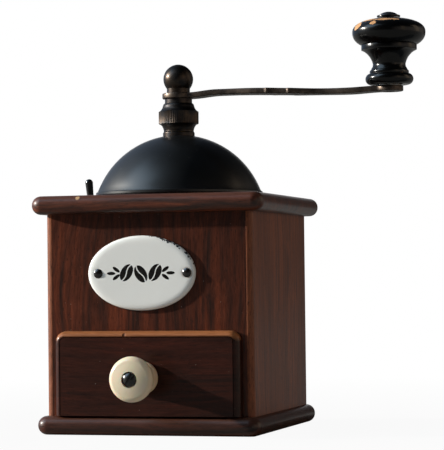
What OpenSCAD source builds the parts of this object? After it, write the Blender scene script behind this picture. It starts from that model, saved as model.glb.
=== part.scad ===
/* [Case] */
// Width and depth of the square wooden case
case_w = 115.4; // [110:0.2:118]
// Height of the case between the base board and the top board
case_h = 108; // [104:1:114]
// Thickness of the base board and of the top board
board_t = 10; // [9:0.5:12]
// Side of the square top board
top_w = 129.6; // [126:0.2:134]
// Width of the base board
base_w = 124.6; // [122:0.2:130]
// How much deeper than wide the base board is, all of it at the front
base_forward = 2.4; // [0:0.2:5]
// Radius of the boards' corners, seen from above
board_corner_r = 6.5; // [6.2:0.1:8]
// Thickness of the case's side, front and back boards
wall_t = 8; // [7:0.5:9]
// Edge of a side board that shows beside the front panel
lip_w = 3.5; // [3:0.5:4]
// Radius of the case's upright corners
case_edge_r = 3; // [1:0.5:3]

/* [Drawer] */
// Width of the drawer's front
front_w = 103; // [100:0.5:105]
// Height of the drawer's front
front_h = 45; // [42:0.5:46]
// How far the drawer's front stands out of the case
front_t = 5.5; // [5:0.5:8]
// Width of the rounded edge round the drawer's front
moulding_w = 3; // [2:0.1:3.4]
// Depth of the rounded edge round the drawer's front
moulding_d = 4.5; // [3:0.5:4.5]
// Width of the drawer's box
tray_w = 90; // [84:1:91]
// Depth of the drawer's box, from front to back
tray_d = 98; // [90:1:100]
// Height of the drawer's box
tray_h = 36; // [30:1:37]
// Thickness of the drawer's sides and back
tray_t = 5; // [4:0.5:6]
// Radius of the drawer's knob
knob_r = 12; // [11:0.1:13]
// Length of the drawer's knob
knob_len = 23.5; // [21:0.5:26]
// Sideways place of the drawer's knob
knob_x = -1.4; // [-4:0.1:4]
// Sideways place of the middle between the name plate's pins
pins_x = -2.5; // [-4:0.1:4]

/* [Dome] */
// Outer radius of the dome
dome_r = 48.5; // [48:0.1:49]
// Height of the dome's centre above the top board, negative when it is below
dome_drop = -13.5; // [-14.5:0.1:-13]
// Thickness of the dome's sheet
sheet_t = 0.8; // [0.6:0.1:0.9]
// Width of the filling window, as an angle round the dome
window_deg = 95; // [80:1:98]

/* [Crank] */
// Distance from the spindle to the handle
crank_reach = 120; // [105:1:130]
// Thickness of the crank arm
arm_t = 3; // [2.5:0.1:3]
// Radius of the spindle
spindle_r = 4; // [3.8:0.1:4.2]
// Radius of the ball on the spindle's nut
ball_r = 8.3; // [7.5:0.1:9]
// Radius of the handle at its widest
handle_r = 19.9; // [18:0.1:21]
// Number of ribs in the adjusting nut's knurl
knurls = 72; // [48:6:90]

/* [Burrs] */
// Number of teeth on each burr
burr_teeth = 24; // [18:2:30]
// Radius of the inner burr at its foot
burr_r = 14.5; // [13:0.1:15]

/* [Hidden] */
$fn = 64;

// Gaps
run_gap = 0.05;
part_gap = 0.3;

// Heights of the case
case_z = board_t;
top_z = case_z + case_h;
deck_z = top_z + board_t;
half = case_w / 2;
inner = half - wall_t;
rabbet = half - lip_w;

// Heights of the dome and of what stands on it
dome_z = deck_z + dome_drop;
rim_z = deck_z + 1.6;
rim_h = 1.6;
rim_r = sqrt(pow(dome_r, 2) - pow(rim_z - dome_z, 2)) + 0.35;
bush_r = 6.2;
ring_r = 8.85;
ring_z = dome_z + sqrt(pow(dome_r, 2) - pow(ring_r, 2)) + 0.04;
ring_h = 2.3;
washer_z = ring_z + ring_h + 0.25;
washer_t = 0.8;
nut_z = washer_z + washer_t + 0.05;
nut_h = 14.9;
band_r = 11.15;
band_low = 3.6;
band_h = 6.8;
seat_z = nut_z + nut_h + 0.1;
crank_washer_t = 2.6;
arm_z = seat_z + crank_washer_t;
thread_r = 2.75;
tang_w = 5.6;

// Heights of the grinding gear
flange_r = 42.3;
flange_t = 2;
mouth_r = 27;
mouth_wall = 2.4;
seat_r = 20;
casting_low_z = top_z - 44;
burr_low_z = casting_low_z;
burr_h = 22;
cone_low_z = burr_low_z + 2;
cone_h = 22;
waist = 0.4;
bar_t = 5;
boss_h = 10;
casting_screw_r = 37;
bridge_screw_r = 33.2;
shoulder_r = 5;
spring_seat_z = deck_z + 10;
spring_r = 6.4;
wire_r = 0.6;
spring_turns = 5;

// Places of the shutter and its knob, as angles round the spindle
shutter_from = 70;
shutter_deg = 110;
window_from = shutter_from + (shutter_deg - window_deg) / 2;
knob_deg = 177;
shutter_knob_r = 53.8;
shutter_knob_h = 10.6;
shutter_knob_lean = 5;
tab_z = deck_z + 0.45;
tab_t = 0.8;
shutter_r = dome_r - sheet_t - 0.4;
shutter_t = 0.7;

// Heights of the drawer
front_z = case_z + 0.4;
tray_z = case_z + 0.3;
guide_h = 7;
front_y = -half - part_gap;
knob_y = front_y - front_t;
knob_z = 30.8;
tray_y = front_y;
opening_w = tray_w + 2;
opening_h = tray_h + 3.2;

// Places of the name plate
plate_a = 30;
plate_b = 20;
plate_z = 86;
plate_t = 2;
plate_pin_x = 24.75;
pin_head_r = 2.5;
pin_head_h = 0.8;
plate_x = pins_x - 0.8;

walnut = [0.25, 0.12, 0.08];
blackened = [0.13, 0.12, 0.11];
black_paint = [0.05, 0.06, 0.07];
raw_steel = [0.55, 0.55, 0.55];
cast_iron = [0.25, 0.25, 0.26];
ivory = [0.87, 0.80, 0.66];

// Points on an arc in the profile plane, from angle a0 to a1
function arc(cx, cy, r, a0, a1, n = 8) =
    [for (i = [0 : n]) [cx + r * cos(a0 + (a1 - a0) * i / n), cy + r * sin(a0 + (a1 - a0) * i / n)]];

// A board with fully rounded edges and rounded corners, standing on z = 0
module round_board(w, d, t, corner) {
    r = t / 2;
    cx = w / 2 - corner;
    cy = d / 2 - corner;
    translate([0, 0, r]) {
        cube([2 * cx, 2 * cy, t], center = true);
        for (a = [0 : 90 : 270]) {
            out = a % 180 == 0 ? cx : cy;
            along = a % 180 == 0 ? cy : cx;
            rotate([0, 0, a]) {
                translate([out, 0, 0]) rotate([90, 0, 0])
                    linear_extrude(2 * along, center = true) edge_profile(r, corner);
                translate([out, along, 0]) rotate_extrude(angle = 90) edge_profile(r, corner);
            }
        }
    }
}

// Section of a rounded edge, from the corner's centre outwards
module edge_profile(r, corner) {
    polygon(concat([[0, -r]], arc(corner - r, 0, r, -90, 90, 16), [[0, r]]));
}

// Rounded rectangle from its centre
module round_rect(w, h, r) {
    square([w - 2 * r, h], center = true);
    square([w, h - 2 * r], center = true);
    for (x = [-1, 1], y = [-1, 1]) translate([x * (w / 2 - r), y * (h / 2 - r)]) circle(r);
}

module base_board() {
    color(walnut) difference() {
        translate([0, -base_forward / 2, 0])
            round_board(base_w, base_w + base_forward, board_t, board_corner_r);
        at_base_screws() {
            translate([0, 0, -1]) cylinder(r = 1.75, h = board_t + 2);
            translate([0, 0, -0.01]) cylinder(r1 = 3.6, r2 = 1.75, h = 2.2);
        }
    }
}

module at_base_screws() {
    for (x = [-1, 1], y = [-1, 1]) translate([x * (inner + 4), y * (half - 17), 0]) children();
}

module base_screws() {
    color(raw_steel) at_base_screws() difference() {
        union() {
            translate([0, 0, 0.3]) cylinder(r1 = 3.1, r2 = 1.75, h = 1.9);
            translate([0, 0, 2.2]) cylinder(r = 1.75, h = 20);
            translate([0, 0, 22.2]) cylinder(r1 = 1.75, r2 = 0.4, h = 4);
        }
        translate([0, 0, 0.7]) cube([8, 0.9, 1], center = true);
    }
}

// Outline of the right-hand side board, seen from above
module side_outline() {
    difference() {
        translate([inner, -half]) square([wall_t, case_w]);
        for (y = [-1, 1]) scale_y(y) {
            translate([inner - 1, half - wall_t]) square([rabbet - inner + 1, wall_t + 1]);
            corner_cut();
        }
    }
}

// What is cut off the case's upright corner to round it
module corner_cut() {
    c = half - case_edge_r;
    difference() {
        translate([c, c]) square(case_edge_r + 1);
        translate([c, c]) circle(case_edge_r);
    }
}

module scale_y(s) {
    if (s > 0) children();
    else mirror([0, 1, 0]) children();
}

module right_side() {
    color(walnut) difference() {
        translate([0, 0, case_z]) linear_extrude(case_h) side_outline();
        at_base_screws() cylinder(r = 1.75, h = 26.5);
    }
}

module left_side() {
    color(walnut) mirror([1, 0, 0]) right_side();
}

module front_panel() {
    color(walnut) difference() {
        translate([-rabbet, -half, case_z]) cube([2 * rabbet, wall_t, case_h]);
        translate([-opening_w / 2, -half - 1, case_z - 1]) cube([opening_w, wall_t + 2, opening_h + 1]);
        at_plate_pins() translate([0, 0, -7]) cylinder(r = 1.1, h = 8);
    }
}

module back_panel() {
    color(walnut) translate([-rabbet, half - wall_t, case_z]) cube([2 * rabbet, wall_t, case_h]);
}

// Strips that keep the drawer straight between the side boards
module drawer_guides() {
    color("tan") for (s = [-1, 1])
        translate([s * (opening_w / 2 + inner) / 2, 0, case_z + guide_h / 2])
            cube([inner - opening_w / 2, 2 * inner, guide_h], center = true);
}

module top_board() {
    color(walnut) difference() {
        translate([0, 0, top_z]) round_board(top_w, top_w, board_t, board_corner_r);
        translate([0, 0, top_z - 1]) cylinder(r = mouth_r + mouth_wall + part_gap, h = board_t + 2);
        at_flange_screws() translate([0, 0, deck_z - 8]) cylinder(r = 1.6, h = 9);
    }
}

// The name plate's own frame: x and y in its face, z out of the front panel
module on_front(x, z) {
    translate([x, -half, z]) rotate([90, 0, 0]) children();
}

module at_plate_pins() {
    for (s = [-1, 1]) on_front(pins_x + s * plate_pin_x, plate_z) children();
}

module plate_slice(inset, z) {
    translate([0, 0, z]) linear_extrude(0.1) scale([plate_a - inset, plate_b - inset]) circle(1, $fn = 72);
}

module name_plate() {
    color("white") difference() {
        on_front(plate_x, plate_z) hull() {
            plate_slice(0, 0);
            plate_slice(0, 0.5);
            plate_slice(1.2, 1.35);
            plate_slice(4, plate_t - 0.15);
            plate_slice(9, plate_t - 0.1);
        }
        at_plate_pins() translate([0, 0, -1]) cylinder(r = 1.1, h = 5);
    }
}

module name_plate_pins() {
    dome = (pow(pin_head_r, 2) + pow(pin_head_h, 2)) / (2 * pin_head_h);
    color(blackened) at_plate_pins() {
        translate([0, 0, -6.5]) cylinder(r = 1.1, h = 6.5 + plate_t);
        translate([0, 0, plate_t]) rotate_extrude() intersection() {
            translate([0, pin_head_h - dome]) circle(dome);
            square([pin_head_r, 2]);
        }
    }
}

// Cast funnel with its flange on the top board and its seat for the outer burr below
module mill_casting() {
    neck_z = burr_low_z + burr_h;
    color(cast_iron) difference() {
        rotate_extrude() polygon([
            [seat_r, casting_low_z], [seat_r + 5, casting_low_z], [seat_r + 5, neck_z - 1],
            [seat_r + 1, neck_z + 4], [mouth_r + mouth_wall, deck_z - 2], [mouth_r + mouth_wall, deck_z],
            [flange_r, deck_z], [flange_r, deck_z + flange_t], [mouth_r, deck_z + flange_t],
            [mouth_r - 0.4, deck_z - 1], [seat_r - 1.5, neck_z + 2.5], [seat_r - 1.5, neck_z],
            [seat_r, neck_z],
        ]);
        at_flange_screws() translate([0, 0, deck_z - 1]) cylinder(r = 1.6, h = flange_t + 2);
        at_bar_screws() translate([0, 0, casting_low_z - 1]) cylinder(r = 1.5, h = 9);
    }
}

module at_casting_screws() {
    for (a = [90, 270]) rotate([0, 0, a]) translate([casting_screw_r, 0, 0]) children();
}

module at_bridge_screws() {
    for (a = [0, 180]) rotate([0, 0, a]) translate([bridge_screw_r, 0, 0]) children();
}

module at_flange_screws() {
    at_casting_screws() children();
    at_bridge_screws() children();
}

// Slotted round-head wood screw whose head rests on z = 0
module deck_screw(shank) {
    difference() {
        union() {
            translate([0, 0, -shank]) cylinder(r = 1.6, h = shank);
            rotate_extrude() intersection() {
                translate([0, -1.6]) circle(3.6);
                square([3.1, 2]);
            }
        }
        translate([0, 0, 1.9]) cube([8, 0.8, 1.4], center = true);
    }
}

module casting_screws() {
    color(raw_steel) at_casting_screws() translate([0, 0, deck_z + flange_t]) deck_screw(flange_t + 7.5);
}

module bridge_screws() {
    lift_z = deck_z + flange_t + bridge_t;
    color(raw_steel) at_bridge_screws() translate([0, 0, lift_z]) deck_screw(flange_t + bridge_t + 7.5);
}

// Star-shaped outline of a burr, with slanted teeth
function burr_outline(tip, root) = [
    for (i = [0 : burr_teeth - 1], k = [0 : 1])
        let (a = 360 / burr_teeth * (i + k * 0.62), r = k == 0 ? root : tip) [r * cos(a), r * sin(a)]
];

module inner_burr() {
    color(cast_iron) difference() {
        translate([0, 0, cone_low_z]) {
            linear_extrude(cone_h * waist, twist = 18, scale = 0.9, slices = 6)
                polygon(burr_outline(burr_r, burr_r - 1));
            translate([0, 0, cone_h * waist]) rotate([0, 0, -18])
                linear_extrude(cone_h * (1 - waist), twist = 24, scale = 0.66, slices = 8)
                    polygon(burr_outline(burr_r * 0.9, burr_r * 0.9 - 1.6));
        }
        translate([0, 0, cone_low_z - 1]) cylinder(r = spindle_r, h = cone_h + 2);
        at_burr_pin() cylinder(r = 1.25, h = 3 * burr_r, center = true);
    }
}

module at_burr_pin() {
    translate([0, 0, cone_low_z + cone_h - 4]) rotate([90, 0, 30]) children();
}

module burr_pin() {
    color(raw_steel) at_burr_pin() cylinder(r = 1.25, h = 15, center = true);
}

// Ring whose teeth run beside the inner burr's, narrowest where the grinding starts
module outer_burr() {
    foot = burr_r + 1.3;
    throat = foot * 0.92;
    color(cast_iron) difference() {
        translate([0, 0, burr_low_z]) cylinder(r = seat_r, h = burr_h);
        translate([0, 0, burr_low_z - 0.01]) {
            linear_extrude(burr_h * waist + 0.01, twist = -14, scale = 0.92, slices = 5)
                polygon(burr_outline(foot + 1, foot));
            translate([0, 0, burr_h * waist]) rotate([0, 0, 14])
                linear_extrude(burr_h * (1 - waist) + 0.1, twist = -20, scale = 1.18, slices = 6)
                    polygon(burr_outline(throat + 1.3, throat));
        }
    }
}

module at_bar_screws() {
    for (s = [-1, 1]) translate([s * (seat_r + 2.2), 0, 0]) children();
}

module lower_bearing_bar() {
    color(cast_iron) difference() {
        translate([0, 0, casting_low_z - bar_t]) {
            linear_extrude(bar_t) {
                square([2 * seat_r + 4, 12], center = true);
                for (s = [-1, 1]) translate([s * (seat_r + 2), 0]) circle(6);
            }
            translate([0, 0, bar_t - boss_h]) cylinder(r = 8, h = boss_h);
        }
        translate([0, 0, casting_low_z - boss_h - 1]) cylinder(r = spindle_r + run_gap, h = boss_h + 2);
        at_bar_screws() translate([0, 0, casting_low_z - bar_t - 1]) cylinder(r = 1.5, h = bar_t + 2);
    }
}

module bearing_bar_screws() {
    color(raw_steel) at_bar_screws() translate([0, 0, casting_low_z - bar_t]) {
        cylinder(r = 1.5, h = bar_t + 7.5);
        difference() {
            translate([0, 0, -2]) cylinder(r = 2.8, h = 2);
            translate([0, 0, -2]) cube([8, 0.8, 1.4], center = true);
        }
    }
}

bridge_t = 2.5;
bridge_w = 12;
bridge_r = dome_r - 4;
plate_low_z = dome_z + bridge_r - 4.5;

// Strap that arches over the funnel and carries the spindle's bush
module bearing_bridge() {
    foot_z = deck_z + flange_t;
    color(raw_steel) difference() {
        union() {
            rotate([90, 0, 0]) linear_extrude(bridge_w, center = true) difference() {
                translate([0, dome_z]) circle(bridge_r);
                translate([0, dome_z]) circle(bridge_r - bridge_t);
                translate([-60, foot_z - 100]) square([120, 100]);
                translate([-60, plate_low_z + bridge_t]) square([120, 20]);
            }
            intersection() {
                translate([0, 0, plate_low_z + bridge_t / 2]) cube([36, bridge_w, bridge_t], center = true);
                translate([0, 0, dome_z]) sphere(bridge_r - 0.5);
            }
            translate([0, 0, plate_low_z]) cylinder(r = 11, h = bridge_t);
            for (s = [-1, 1]) translate([s * 36.2, 0, foot_z + bridge_t / 2])
                cube([9, bridge_w, bridge_t], center = true);
        }
        translate([0, 0, plate_low_z - 1]) cylinder(r = 8, h = 10);
        at_bridge_screws() translate([0, 0, foot_z - 1]) cylinder(r = 1.6, h = bridge_t + 2);
    }
}

module spindle_bush() {
    plate_high_z = plate_low_z + bridge_t;
    shoulder_z = dome_z + sqrt(pow(dome_r - sheet_t, 2) - 64) - 0.05;
    collar_z = dome_z + sqrt(pow(shutter_r - shutter_t, 2) - 100) - 0.15;
    color("goldenrod") difference() {
        union() {
            translate([0, 0, plate_low_z - 2]) cylinder(r = 8, h = shoulder_z - plate_low_z + 2);
            translate([0, 0, plate_high_z]) cylinder(r = 10, h = collar_z - plate_high_z);
            translate([0, 0, shoulder_z - 1]) cylinder(r = bush_r, h = ring_z + ring_h + 0.2 - shoulder_z + 1);
        }
        translate([0, 0, plate_low_z - 5]) cylinder(r = spindle_r + run_gap, h = 30);
    }
}

// Section of the dome, from its hole to its rim
module dome_profile() {
    hole = bush_r + 0.15;
    a_top = acos(hole / dome_r);
    a_rim = asin((rim_z + rim_h - dome_z) / dome_r);
    a_top_in = acos(hole / (dome_r - sheet_t));
    a_rim_in = asin((rim_z + rim_h - dome_z) / (dome_r - sheet_t));
    polygon(concat(
        arc(0, dome_z, dome_r, a_top, a_rim, 40),
        [[rim_r, rim_z + rim_h - 0.3], [rim_r, rim_z], [rim_r - 1.2, rim_z]],
        arc(0, dome_z, dome_r - sheet_t, a_rim_in, a_top_in, 40)
    ));
}

module dome_cover() {
    color(black_paint) difference() {
        rotate_extrude($fn = 96) dome_profile();
        rotate([0, 0, window_from]) rotate_extrude(angle = window_deg)
            translate([15, rim_z + 4]) square([50, 20]);
    }
}

module dome_ring_nut() {
    color(blackened) translate([0, 0, ring_z]) rotate_extrude() polygon(concat(
        [[bush_r, 0.42], [ring_r, 0]], arc(ring_r - 0.5, ring_h - 0.5, 0.5, 0, 90, 4), [[bush_r, ring_h]]
    ));
}

// Shell of the shutter, a little smaller than the dome and turning about the same centre
module shutter_profile(from_r, to_z) {
    inside = shutter_r - shutter_t;
    polygon(concat(
        arc(0, dome_z, shutter_r, acos(from_r / shutter_r), asin((to_z - dome_z) / shutter_r), 32),
        arc(0, dome_z, inside, asin((to_z - dome_z) / inside), acos(from_r / inside), 32)
    ));
}

module dome_shutter() {
    low_z = tab_z + tab_t;
    ring_low_z = dome_z + sqrt(pow(shutter_r, 2) - 144);
    color(black_paint) {
        rotate([0, 0, shutter_from]) rotate_extrude(angle = shutter_deg, $fn = 96) shutter_profile(8.4, low_z);
        rotate_extrude($fn = 96) shutter_profile(8.4, ring_low_z);
    }
}

// Flat tab that carries the shutter's knob out under the dome's rim
module shutter_tab() {
    color(blackened) difference() {
        translate([0, 0, tab_z]) rotate([0, 0, knob_deg - 5]) rotate_extrude(angle = 8)
            translate([flange_r + 0.7, 0]) square([shutter_knob_r - flange_r + 2, tab_t]);
        rotate([0, 0, knob_deg]) translate([shutter_knob_r, 0, deck_z]) cylinder(r = 1, h = 3);
    }
}

module shutter_knob() {
    tip = 2.2;
    color("black") rotate([0, 0, knob_deg]) translate([shutter_knob_r, 0, tab_z + tab_t]) {
        rotate([0, shutter_knob_lean, 0]) rotate_extrude() polygon(concat(
            [[0, 0.2], [2.1, 0.2], [1.9, 1.6]], arc(0, shutter_knob_h - tip, tip, -12, 90, 10)
        ));
        translate([0, 0, -tab_t]) cylinder(r = 1, h = 2);
    }
}

module keyed_washer() {
    color(blackened) translate([0, 0, washer_z]) {
        difference() {
            cylinder(r = 8.4, h = washer_t);
            translate([0, 0, -1]) cylinder(r = spindle_r + run_gap, h = 3);
        }
        translate([spindle_r - 0.6, -0.8, 0]) cube([1.2, 1.6, washer_t]);
    }
}

function knurl_outline(r, depth) = [
    for (i = [0 : knurls - 1], k = [0 : 1])
        let (a = 360 / knurls * (i + k / 2), s = r - k * depth) [s * cos(a), s * sin(a)]
];

// Nut with a knurled band between two waisted necks
module adjusting_nut() {
    neck_h = nut_h - band_low - band_h;
    color(blackened) translate([0, 0, nut_z]) difference() {
        union() {
            rotate_extrude() polygon(concat(
                [[0, 0], [8.5, 0]], arc(13.2, -0.4, 4.75, 172, 127, 8), [[10.5, band_low], [0, band_low]]
            ));
            translate([0, 0, band_low]) linear_extrude(band_h) polygon(knurl_outline(band_r, 0.35));
            translate([0, 0, band_low + band_h]) rotate_extrude() polygon(concat(
                [[0, 0], [10.5, 0]],
                arc(12.45, neck_h - 0.9, 3.7, 226, 188, 6),
                [[8.4, neck_h - 0.4], [7.9, neck_h], [0, neck_h]]
            ));
        }
        translate([0, 0, -1]) cylinder(r = spindle_r + run_gap, h = nut_h + 2);
    }
}

module crank_washer() {
    color(blackened) translate([0, 0, seat_z]) difference() {
        cylinder(r = 7.6, h = crank_washer_t);
        translate([0, 0, crank_washer_t / 2]) cube([tang_w, tang_w, crank_washer_t + 2], center = true);
    }
}

module spindle() {
    foot_z = casting_low_z - boss_h - 3;
    color(raw_steel) difference() {
        union() {
            translate([0, 0, foot_z]) cylinder(r1 = spindle_r - 0.8, r2 = spindle_r, h = 0.8);
            translate([0, 0, foot_z + 0.8]) cylinder(r = spindle_r, h = seat_z - foot_z - 0.8);
            translate([0, 0, cone_low_z + cone_h])
                cylinder(r = shoulder_r, h = spring_seat_z - cone_low_z - cone_h);
            translate([0, 0, seat_z + (crank_washer_t + arm_t) / 2 - 0.2])
                cube([tang_w, tang_w, crank_washer_t + arm_t - 0.4], center = true);
            translate([0, 0, arm_z]) cylinder(r = thread_r, h = 11);
        }
        translate([spindle_r - 0.8, -1, washer_z - 3]) cube([2, 2, 8]);
        at_burr_pin() cylinder(r = 1.25, h = 3 * burr_r, center = true);
    }
}

module spring_seat() {
    color(raw_steel) translate([0, 0, spring_seat_z]) difference() {
        cylinder(r = 8, h = 1.2);
        translate([0, 0, -1]) cylinder(r = spindle_r, h = 4);
    }
}

// Centre of the spring's wire, u turns up from its lower end
function coil_point(u, low, high) =
    [spring_r * cos(360 * u), spring_r * sin(360 * u), low + (high - low) * u / spring_turns];

function coil_ring(u, low, high, sides) = [
    for (k = [0 : sides - 1])
        let (a = 360 * k / sides, c = coil_point(u, low, high))
            [c[0] + wire_r * cos(a) * cos(360 * u), c[1] + wire_r * cos(a) * sin(360 * u), c[2] + wire_r * sin(a)]
];

module lift_spring() {
    sides = 8;
    rings = spring_turns * 16;
    low = spring_seat_z + 1.2 + wire_r;
    high = plate_low_z - 2 - wire_r;
    points = [for (i = [0 : rings]) each coil_ring(i * spring_turns / rings, low, high, sides)];
    walls = [
        for (i = [0 : rings - 1], k = [0 : sides - 1])
            let (n = (k + 1) % sides)
                [i * sides + k, i * sides + n, (i + 1) * sides + n, (i + 1) * sides + k]
    ];
    first_end = [[for (k = [sides - 1 : -1 : 0]) k]];
    last_end = [[for (k = [0 : sides - 1]) rings * sides + k]];
    color(raw_steel) polyhedron(points, concat(first_end, walls, last_end), convexity = 10);
}

// Goes smoothly from 0 at x = a to 1 at x = b
function ease(x, a, b) = (1 - cos(180 * min(1, max(0, (x - a) / (b - a))))) / 2;

// Height of the arm's underside above its seat, at x from the spindle on an arm of full reach
function arm_rise(x) = 1.2 * ease(x, 6.5, 24) - 1.85 * ease(x, 32, 96) + 0.65 * ease(x, 97, 116);

// A pointed ornament on the arm's edge, steep on the spindle's side and hollow beyond
function cusp(x, at) = x < at ? max(0, 1 - (at - x) / cusp_step) : pow(max(0, 1 - (x - at) / cusp_run), 2);

// Half the arm's width at x from the spindle, between its two ends
function arm_half(x) =
    5.7 + 1.8 * ease(x, 28, 50) - 2.2 * ease(x, 68, 84) + 0.7 * ease(x, 86, 98) - 0.5 * ease(x, 101, 112)
    + 1.5 * (cusp(x, cusps[0]) + cusp(x, cusps[1]));

cusps = [53, 65.5];
cusp_step = 1.5;
cusp_run = 9;
full_reach = 120;
arm_stations = concat(
    [for (x = [3 : 3 : 48]) x],
    [for (c = cusps, d = [-cusp_step, 0, 1.5, 3.5, 6.5]) c + d],
    [for (x = [75 : 3 : 117]) x]
);

module arm_outline() {
    k = crank_reach / full_reach;
    near = [for (x = arm_stations) [x * k, -arm_half(x)]];
    far = [for (i = [len(near) - 1 : -1 : 0]) [near[i][0], -near[i][1]]];
    polygon(concat(near, far));
    circle(9);
    translate([crank_reach, 0]) circle(7.5);
}

module arm_side() {
    xs = [for (x = [-12 : 4 : full_reach + 12]) x];
    low = [for (x = xs) [x * crank_reach / full_reach, arm_rise(x)]];
    high = [for (i = [len(low) - 1 : -1 : 0]) low[i] + [0, arm_t]];
    polygon(concat(low, high));
}

arm_end_z = arm_z + arm_rise(full_reach);

module crank_arm() {
    color(blackened) difference() {
        intersection() {
            translate([0, 0, arm_z - 5]) linear_extrude(12) arm_outline();
            translate([0, 0, arm_z]) rotate([90, 0, 0]) linear_extrude(40, center = true) arm_side();
        }
        translate([0, 0, arm_z]) cube([tang_w, tang_w, 20], center = true);
        translate([crank_reach, 0, arm_z - 5]) cylinder(r = 3, h = 12);
    }
}

module ball_nut() {
    neck_r = 6.45;
    centre = 7.9;
    color(blackened) translate([0, 0, arm_z + arm_t]) difference() {
        union() {
            cylinder(r = neck_r, h = centre - 2);
            translate([0, 0, centre]) sphere(ball_r);
        }
        translate([0, 0, -5]) cylinder(r = 20, h = 5);
        cylinder(r = thread_r, h = 8);
    }
}

handle_low_z = arm_end_z + arm_t + 0.5;
handle_h = 36.3;

module handle_washer() {
    color(raw_steel) translate([crank_reach, 0, arm_end_z + arm_t]) difference() {
        cylinder(r = 6.5, h = 0.4);
        translate([0, 0, -1]) cylinder(r = 3, h = 3);
    }
}

// Rounded crown of the handle as a squared-off ellipse: r across, h up, from angle a0 to a1
function crown(r, h, z, a0, a1, n) = [
    for (i = [0 : n])
        let (a = a0 + (a1 - a0) * i / n, e = 2 / 2.3)
            [r * pow(cos(a), e), z + sign(sin(a)) * h * pow(abs(sin(a)), e)]
];

module handle_profile() {
    polygon(concat(
        [[0, 0]],
        arc(9.95, 3.1, 3.1, -90, 60, 14),
        [[10.5, 6.2], [10.5, 7.6]],
        [[9.7, 8.8], [9.0, 9.9]],
        arc(19.5, 9.2, 10.8, 171, 119, 10),
        [[15.1, 19.3], [15.1, 21.5]],
        crown(handle_r, 9.5, 28.5, -39, 0, 10),
        crown(handle_r, handle_h - 28.5, 28.5, 0, 88, 22),
        [[0, handle_h]]
    ));
}

module crank_handle() {
    color("black") translate([crank_reach, 0, handle_low_z]) difference() {
        rotate_extrude() handle_profile();
        translate([0, 0, -1]) cylinder(r = 3 + run_gap, h = handle_h + 2);
    }
}

module handle_screw() {
    head_z = handle_low_z + handle_h + 0.25;
    color("black") translate([crank_reach, 0, 0]) {
        translate([0, 0, arm_end_z]) cylinder(r = 3, h = head_z - arm_end_z + 0.1);
        translate([0, 0, head_z]) rotate_extrude() polygon(concat(
            [[0, 0], [6.1, 0]], arc(5.8, 0.7, 0.6, -60, 45, 4), arc(0, -5.4, 8.6, 53, 90, 8)
        ));
    }
}

// Outline of the drawer's front, its upper corners rounded, drawn in by inset
module front_outline(inset) {
    w = front_w - 2 * inset;
    h = front_h - inset;
    r = 5.8 - inset;
    translate([-w / 2, 0]) square([w, h - r]);
    translate([-w / 2 + r, 0]) square([w - 2 * r, h]);
    for (s = [-1, 1]) translate([s * (w / 2 - r), h - r]) circle(r, $fn = 32);
}

module front_slice(inset, z) {
    translate([0, 0, z]) linear_extrude(0.02) front_outline(inset);
}

module drawer_front() {
    groove = 0.6;
    block_t = 4;
    flat_t = front_t - moulding_d;
    steps = 5;
    color(walnut) difference() {
        union() {
            translate([0, front_y, front_z]) rotate([90, 0, 0]) difference() {
                union() {
                    linear_extrude(flat_t) front_outline(0);
                    for (i = [0 : steps - 1]) hull() {
                        front_slice(
                            moulding_w * (1 - cos(90 * i / steps)),
                            flat_t - 0.01 + moulding_d * sin(90 * i / steps)
                        );
                        front_slice(
                            moulding_w * (1 - cos(90 * (i + 1) / steps)),
                            flat_t - 0.03 + moulding_d * sin(90 * (i + 1) / steps)
                        );
                    }
                    linear_extrude(front_t) front_outline(moulding_w);
                }
                translate([0, 0, front_t - groove]) linear_extrude(1) difference() {
                    front_outline(moulding_w);
                    front_outline(moulding_w + groove);
                }
            }
            // Block between the tray's sides, which the knob's screw bites into
            translate([-tray_w / 2 + tray_t, front_y - 0.01, tray_z + 6])
                cube([tray_w - 2 * tray_t, block_t, tray_h - 6]);
        }
        at_drawer_knob() translate([0, 0, -6]) cylinder(r = 2, h = 7);
    }
}

module drawer_side(s) {
    color("peru") difference() {
        translate([s > 0 ? tray_w / 2 - tray_t : -tray_w / 2, tray_y, tray_z]) cube([tray_t, tray_d, tray_h]);
        translate([s > 0 ? tray_w / 2 - tray_t - 1 : -tray_w / 2 + tray_t - 2, tray_y - 1, tray_z + 3])
            cube([3, tray_d + 2, 3]);
        at_drawer_nails() cylinder(r = 0.7, h = 14);
    }
}

module drawer_left_side() {
    drawer_side(-1);
}

module drawer_right_side() {
    drawer_side(1);
}

module drawer_back() {
    color("peru") difference() {
        translate([-tray_w / 2 + tray_t, tray_y + tray_d - tray_t, tray_z + 6])
            cube([tray_w - 2 * tray_t, tray_t, tray_h - 6]);
        at_drawer_nails() cylinder(r = 0.7, h = 14);
    }
}

module drawer_bottom() {
    color("tan") translate([-tray_w / 2 + tray_t - 2, tray_y, tray_z + 3])
        cube([tray_w - 2 * tray_t + 4, tray_d, 3]);
}

// Two nails through each side into the back's ends
module at_drawer_nails() {
    for (s = [-1, 1], z = [12, 28])
        translate([s * tray_w / 2, tray_y + tray_d - tray_t / 2, tray_z + z]) rotate([0, -90 * s, 0]) children();
}

module drawer_nails() {
    color(raw_steel) at_drawer_nails() cylinder(r = 0.7, h = 14);
}

module at_drawer_knob() {
    translate([knob_x, knob_y, knob_z]) rotate([90, 0, 0]) children();
}

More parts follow.
